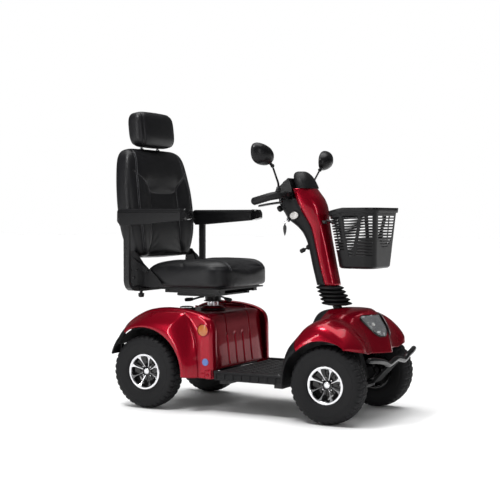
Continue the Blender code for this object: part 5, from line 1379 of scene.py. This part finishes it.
def make_backrest():
    rings = []
    for height, width, front, rear in spline(BACK_SLICES, 60):
        middle, depth = (front + rear) / 2, (front - rear) / 2
        ring = []
        for x, y in superellipse(depth, width, 5.0, 120):
            if x > 0:
                away = abs(y)
                low = 1 - smooth_step(height, 0.335, 0.410)
                edge = 1 - smooth_step(away, width - 0.030, width)
                seam = np.interp(height, [h for _, h in reversed(RIDGE)], [y for y, _ in reversed(RIDGE)])
                inner = np.interp(height, [0.045, 0.09, 0.15, 0.26, 0.322, 0.352], [0.14, 0.122, 0.117, 0.114, 0.113, 0.128])
                rise = 0.008 * math.exp(-((away - seam) / 0.030) ** 2)
                sink = -0.011 * (1 - smooth_step(away, inner - 0.010, inner + 0.030))
                x += (rise + sink) * low * edge + 0.003 * (1 - low) * (1 - (y / width) ** 2)
            ring.append((middle + x, y, height))
        rings.append(ring)
    verts, faces = grid_mesh(rings, closed_columns=True, caps=True)
    curves = [dense(c, 60) for curve in (RIDGE, PANEL) for c in both(curve)] + [dense(LUMBAR, 60)]

    def gap(points, normals):
        flat = points[:, 1:3]
        near = np.full(len(points), 1e9)
        for curve in curves:
            near = np.minimum(near, polyline_distance(flat, curve))
        near[normals[:, 0] < 0.15] = 1e9
        rear = np.abs(np.abs(points[:, 1]) - 0.92 * np.interp(points[:, 2], [s[0] for s in BACK_SLICES],
                                                              [s[1] for s in BACK_SLICES]))
        rear[normals[:, 0] > -0.3] = 1e9
        return np.minimum(near, rear)

    bm = inflate((verts, faces), 0.0055, gap, 0.010, LEAN)
    tree = surface_tree(bm)
    pad = piece("backrest_pad", bm, LEATHER, "backrest", "backrest", 60, recalc=False)

    def cast(where, y, h, lift=0.0002):
        origin = LEAN @ Vector((0.30, y, h))
        way = (LEAN.to_3x3() @ Vector((-1, 0, 0))).normalized()
        hit, normal, _, _ = where.ray_cast(origin, way)
        return None if hit is None else hit + normal * lift

    threads = []
    for curve in both(RIDGE):
        for offset in (-0.0050, 0.0050):
            threads.append(stitches(tree, dense(curve, 80), cast, offset, 0.0075, 0.0050, 0.0011))
    for k, curve in enumerate(list(both(PANEL)) + [LUMBAR]):
        threads.append(stitches(tree, dense(curve, 80), cast, 0.0042, 0.0070, 0.0048, 0.0008))
        seam_cord(f"backrest_welt_{k}", tree, dense(curve, 60), lambda w, y, h: cast(w, y, h, -0.0002), 0.0013,
                  LEATHER, "backrest")
    piece("backrest_stitching", join(*threads), THREAD, "backrest", (), 60)
    spine = block((-0.0115, -0.2385, 0.020), (0.0115, 0.2385, 0.044))
    soften(piece("backrest_cross_tube", moved(spine, LEAN), BLACK_STEEL, "backrest", ()), 0.004, 3)
    shell_rows = []
    for height, width, front, rear in [r for r in spline(BACK_SLICES, 90) if 0.085 <= r[0] <= 0.485]:
        reach = abs(2 * (height - 0.085) / 0.400 - 1)
        row = [(rear - 0.0120 + 0.0190 * min(1.0, abs(y / (0.88 * width)) ** 7 + min(1.0, reach) ** 9), y, height)
               for y in np.linspace(-0.88 * width, 0.88 * width, 61)]
        shell_rows.append([tuple(LEAN @ Vector(p)) for p in row])
    sheet_piece("backrest_rear_shell", shell_rows, 0.0030, BLACK_GRAIN, "backrest", (-1, 0, 0), (), "black_plastic")
    for name, side in SIDES:
        sleeve = [(0.0066, -0.010), (0.0105, -0.010), (0.0112, 0.0), (0.0100, 0.0055), (0.0066, 0.0060)]
        base = LEAN @ Vector((-0.018, 0.068 * side, 0.5285))
        piece(f"headrest_sleeve_{name}", turned(sleeve, base, LEAN.to_3x3() @ Vector((0, 0, 1)), 24, closed=True),
              BLACK_SATIN, "backrest", ())


def make_headrest():
    rings = []
    centre, tall = 0.6215, 0.0830
    for t in np.linspace(-0.995, 0.995, 44):
        t = math.copysign(abs(t) ** 0.75, t)
        across = (1 - abs(t) ** 4.2) ** (1 / 4.2)
        deep = (1 - abs(t) ** 3.0) ** (1 / 3.0)
        ring = []
        for x, y in superellipse(0.0500 * (0.12 + 0.88 * deep), 0.150 * (0.45 + 0.55 * across), 4.0, 90):
            bulge = 0.004 * (1 - (y / 0.150) ** 2) if x > 0 else 0
            ring.append((0.004 + x + bulge, y, centre + tall * t))
        rings.append(ring)

    def gap(points, normals):
        ring = np.abs(np.abs(points[:, 1]) - (0.116 + 0.010 * (1 - ((points[:, 2] - centre) / tall) ** 2)))
        return ring

    bm = inflate(grid_mesh(rings, closed_columns=True, caps=True), 0.0050, gap, 0.008, LEAN)
    pad = piece("headrest_pad", bm, LEATHER, "headrest", "headrest", 60, recalc=False)
    for name, side in SIDES:
        path = [LEAN @ Vector((-0.018, 0.068 * side, h)) for h in (0.417, 0.480, 0.560)]
        piece(f"headrest_post_{name}", tube(path, 0.0057, 18), STEEL, "headrest", ())


def cushion_plan(inset):
    """Square-cornered at the back, rounder at the front."""
    front = superellipse(0.2085 - inset, 0.239 - inset, 5.6, 140)
    rear = superellipse(0.2085 - inset, 0.239 - inset, 14.0, 140)
    return [f if f[0] > 0 else r for f, r in zip(front, rear)]


def make_cushion():
    profile = [(0.150, 0.5425), (0.060, 0.5425), (0.018, 0.5432), (0.006, 0.5485), (0.003, 0.5620), (0.003, 0.5900),
               (0.003, 0.6140), (0.007, 0.6320), (0.018, 0.6450), (0.040, 0.6530), (0.075, 0.6560), (0.120, 0.6565),
               (0.180, 0.6565)]
    rings = []
    for inset, height in spline(profile, 50):
        ring = []
        for x, y in cushion_plan(inset):
            x += 0.1655
            across, along = y / 0.239, (x - 0.1655) / 0.2085
            lift = smooth_step(height, 0.610, 0.650)
            rise = 0.012 * math.exp(-((abs(y) - 0.158) / 0.055) ** 2) * (1 - 0.35 * abs(along + 0.1) ** 2)
            rise -= 0.008 * math.exp(-(y / 0.085) ** 2)
            rise -= 0.012 * smooth_step(-along, 0.2, 1.0) + 0.010 * smooth_step(along, 0.65, 1.0)
            front = 0.012 * across ** 2 * max(0.0, along)
            ring.append((x - front, y, height + rise * lift))
        rings.append(ring)
    lines = [dense(c, 40) for c in both([(0.1180, -0.035), (0.1120, 0.080), (0.1080, 0.180), (0.1200, 0.280), (0.1450, 0.345),
                                         (0.1600, 0.372)])]

    def gap(points, normals):
        flat = points[:, [1, 0]]
        near = np.minimum(*[polyline_distance(flat, line) for line in lines])
        near[normals[:, 2] < 0.25] = 1e9
        belt = np.abs(points[:, 2] - 0.6330) + 0.0044
        belt[np.abs(normals[:, 2]) > 0.80] = 1e9
        foot = np.where(points[:, 2] < 0.5530, 0.0041, 1e9)
        return np.minimum(np.minimum(near, belt), foot)

    bm = inflate(grid_mesh(rings, closed_columns=True, caps=True), 0.0055, gap, 0.009, Matrix.Identity(4))
    for vert in bm.verts:
        vert.co.z = max(vert.co.z, 0.5400)
    tree = surface_tree(bm)
    pad = piece("seat_cushion_pad", bm, LEATHER, "seat_pan", "seat_cushion", 60, recalc=False)

    def cast(where, y, x, lift=0.0002):
        hit, normal, _, _ = where.ray_cast(Vector((x, y, 0.80)), Vector((0, 0, -1)))
        return None if hit is None else hit + normal * lift

    threads = [stitches(tree, line, cast, offset, 0.0075, 0.0050, 0.0009) for line in lines for offset in (-0.0045, 0.0045)]
    piece("seat_cushion_stitching", join(*threads), THREAD, "seat_pan", (), 60)
    tray = [(x, y, z) for inset, z in ((0.060, 0.5390), (0.040, 0.5390), (0.032, 0.5410), (0.030, 0.5470))
            for x, y in [(px + 0.1655, py) for px, py in cushion_plan(inset)]]
    rows = [tray[k * 140:(k + 1) * 140] for k in range(4)]
    sheet_piece("seat_cushion_base", rows, 0.0020, BLACK_GRAIN, "seat_pan", (0, 0, -1), (), "black_plastic",
                closed_columns=True)
    obj = bpy.data.objects["seat_cushion_base"]
    bm = bmesh.new()
    bm.from_mesh(obj.data)
    bmesh.ops.recalc_face_normals(bm, faces=bm.faces)
    bm.to_mesh(obj.data)
    bm.free()


def make_armrests():
    for name, side in SIDES:
        dress(f"armrest_frame_{name}", BLACK_STEEL, 0.0025, 3)
        body = f"armrest_{name}"
        rows = []
        for x in np.concatenate([np.linspace(-0.1178, 0.20, 40), np.linspace(0.205, 0.2555, 18)]):
            end = smooth_step(x, 0.236, 0.2556)
            start = 1 - smooth_step(x, -0.1180, -0.108)
            top = 0.8965 - 0.009 * end ** 2 - 0.004 * start
            low = np.interp(x, [-0.118, -0.100, -0.070, 0.225, 0.2556], [0.840, 0.824, 0.8235, 0.8470, 0.8560])
            half = 0.0280 - 0.010 * end ** 3 - 0.003 * start
            section = [(-half + 0.0045, low + 0.004), (-half + 0.0040, low), (-half + 0.0005, low), (-half, low + 0.003),
                       (-half, top - 0.018), (-half, top - 0.0165), (-half + 0.0012, top - 0.0155), (-half, top - 0.0145),
                       (-half + 0.0005, top - 0.008), (-half + 0.0040, top - 0.002), (-half + 0.010, top),
                       (half - 0.010, top), (half - 0.0040, top - 0.002), (half - 0.0005, top - 0.008),
                       (half, top - 0.0145), (half - 0.0012, top - 0.0155), (half, top - 0.0165), (half, top - 0.018),
                       (half, low + 0.003), (half - 0.0005, low), (half - 0.0040, low), (half - 0.0045, low + 0.004),
                       (half - 0.0045, top - 0.012), (-half + 0.0045, top - 0.012)]
            rows.append([(x, side * (0.322 + y), z) for y, z in section])
        piece(f"armrest_{name}_pad", grid_mesh(rows, closed_columns=True, caps=True), BLACK_SATIN, body,
              f"armrest_{name}", 35)
        cap_rows = []
        for x, grow in ((0.2180, 0.0006), (0.2200, 0.0014), (0.2440, 0.0012), (0.2540, 0.0004), (0.2580, -0.0040)):
            end = smooth_step(x, 0.236, 0.2556)
            half, top = 0.0280 - 0.010 * end ** 3 + grow, 0.8965 - 0.009 * end ** 2 + grow
            low = np.interp(x, [0.218, 0.2556], [0.8465, 0.8560]) - grow
            cap_rows.append([(x, side * (0.322 + y), z) for y, z in
                             [(-half, low), (-half, top - 0.006), (-half + 0.006, top), (half - 0.006, top),
                              (half, top - 0.006), (half, low)]])
        piece(f"armrest_{name}_end_cap", grid_mesh(cap_rows, closed_columns=True, caps=True), BLACK_GLOSS, body, (),
              35)
        hinge = [(0.0, 0.0300), (0.0060, 0.0300), (0.0080, 0.0285), (0.0085, 0.0270), (0.0, 0.0270)]
        piece(f"armrest_{name}_hinge_pin", join(turned(hinge, (-0.108, side * 0.322, 0.846), (0, 1, 0), 20),
                                                turned(hinge, (-0.108, side * 0.322, 0.846), (0, -1, 0), 20)),
              BLACK_STEEL, body, ())
        for k, z in enumerate((0.600, 0.640, 0.680, 0.720)):
            dot = [(0.0, 0.0016), (0.0030, 0.0014), (0.0042, 0.0), (0.0, 0.0)]
            piece(f"armrest_post_screw_{name}_{k}", turned(dot, (-0.078, side * 0.3338, z), (0, side, 0), 14),
                  BLACK_GLOSS, f"armrest_frame_{name}", ())


def make_seat_metal():
    dress("seat_post", STEEL, 0.0015)
    dress("seat_base", BLACK_STEEL, 0.0015)
    dress("seat_pan", BLACK_STEEL, 0.0015)
    dress("swivel_lever", BLACK_STEEL, 0.001)
    dress("slide_lever", BLACK_STEEL, 0.001)
    for name, side in SIDES:
        outline = [(-0.126, 0.545), (0.070, 0.545), (0.036, 0.584), (-0.006, 0.620), (-0.040, 0.650), (-0.060, 0.676), (-0.078, 0.690), (-0.090, 0.706),
                   (-0.106, 0.706), (-0.118, 0.692), (-0.125, 0.660)]
        n = len(outline)
        verts = [(x, side * y, z) for y in (0.2474, 0.2500) for x, z in outline]
        faces = [tuple(range(n)), tuple(range(n, 2 * n))[::-1]] + [(k, n + k, n + (k + 1) % n, (k + 1) % n)
                                                                  for k in range(n)]
        soften(piece(f"recline_cover_{name}", (verts, faces), BLACK_SATIN, "seat_pan", ()), 0.001, 2)
        for k, (x, z, r) in enumerate(((-0.100, 0.655, 0.0125), (-0.094, 0.585, 0.0065), (-0.112, 0.620, 0.0045),
                                       (-0.080, 0.620, 0.0045))):
            bolt = [(0.0, 0.0046), (r * 0.7, 0.0042), (r, 0.0030), (r, 0.0), (0.0, 0.0)]
            piece(f"recline_bolt_{name}_{k}", turned(bolt, (x, side * 0.2500, z), (0, side, 0), 24 if k == 0 else 6),
                  BLACK_STEEL, "seat_pan", ())
        knob = [(0.0, 0.030), (0.010, 0.029), (0.0135, 0.025), (0.0140, 0.012), (0.0110, 0.010), (0.0070, 0.009),
                (0.0065, 0.0), (0.0, 0.0)]
        piece(f"armrest_width_knob_{name}", turned(knob, (-0.078, side * 0.215, 0.5218), (0, 0, -1), 24), BLACK_SATIN,
              "seat_pan", ())
        for k, x in enumerate((0.035, 0.305)):
            stop = [(0.0, 0.0040), (0.0045, 0.0036), (0.0060, 0.0), (0.0, 0.0)]
            piece(f"runner_stop_{name}_{k}", turned(stop, (x, side * 0.1652, 0.5245), (0, side, 0), 6),
                  BLACK_STEEL, "seat_pan", ())
    soften(dress("recline_lever", BLACK_SATIN), 0.003, 3)
    spring = []
    for k in range(220):
        t = k / 219
        a = 2 * math.pi * 11 * t
        spring.append((0.060 + 0.120 * t, -0.112 + 0.0070 * math.cos(a), 0.5235 + 0.0070 * math.sin(a)))
    piece("slide_return_spring", tube(spring, 0.0011, 8), STEEL, "seat_pan", ())
    washer = [(0.0262, 0.4700), (0.0420, 0.4700), (0.0430, 0.4715), (0.0430, 0.4745), (0.0262, 0.4745)]
    piece("swivel_bearing_ring", turned(washer, (0.178, 0, 0), (0, 0, 1), 48, closed=True), BLACK_STEEL, "seat_base",
          ())
    grip = tube(spline([(0.124, -0.088, 0.4835), (0.114, -0.096, 0.4815), (0.100, -0.108, 0.4802), (0.094, -0.113, 0.4800)], 14),
                [0.0065 + 0.0022 * math.sin(math.pi * k / 13) for k in range(14)], 16)
    piece("swivel_lever_grip", grip, RUBBER, "swivel_lever", ())
    grip = tube(spline([(0.300, -0.0985, 0.4925), (0.314, -0.106, 0.4896), (0.330, -0.1105, 0.4884), (0.340, -0.1126, 0.4878)], 14),
                [0.0064 + 0.0020 * math.sin(math.pi * k / 13) for k in range(14)], 16)
    piece("slide_lever_grip", grip, RUBBER, "slide_lever", ())


make_backrest()
make_headrest()
make_cushion()
make_armrests()
make_seat_metal()


# ---------------------------------------------------------------- chassis parts that show through
def make_running_gear():
    for node, mat in (("main_frame", BLACK_STEEL), ("transaxle", BLACK_STEEL), ("battery_pack", BLACK_GRAIN),
                      ("steering_column", BLACK_STEEL), ("tiller_tube", BLACK_STEEL), ("tie_rod", STEEL)):
        dress(node, mat, 0.0015)
    for name, side in SIDES:
        dress(f"knuckle_{name}", BLACK_STEEL, 0.0012)
        for z, way in ((0.2180, 1), (0.1120, -1)):
            nut = [(0.0, 0.0085), (0.0085, 0.0085), (0.0098, 0.0075), (0.0098, 0.0), (0.0, 0.0)]
            label = "top" if way > 0 else "bottom"
            piece(f"kingpin_nut_{name}_{label}", turned(nut, (WHEELBASE, side * 0.212, z), (0, 0, way), 6), STEEL,
                  "chassis", (), 25)


make_running_gear()
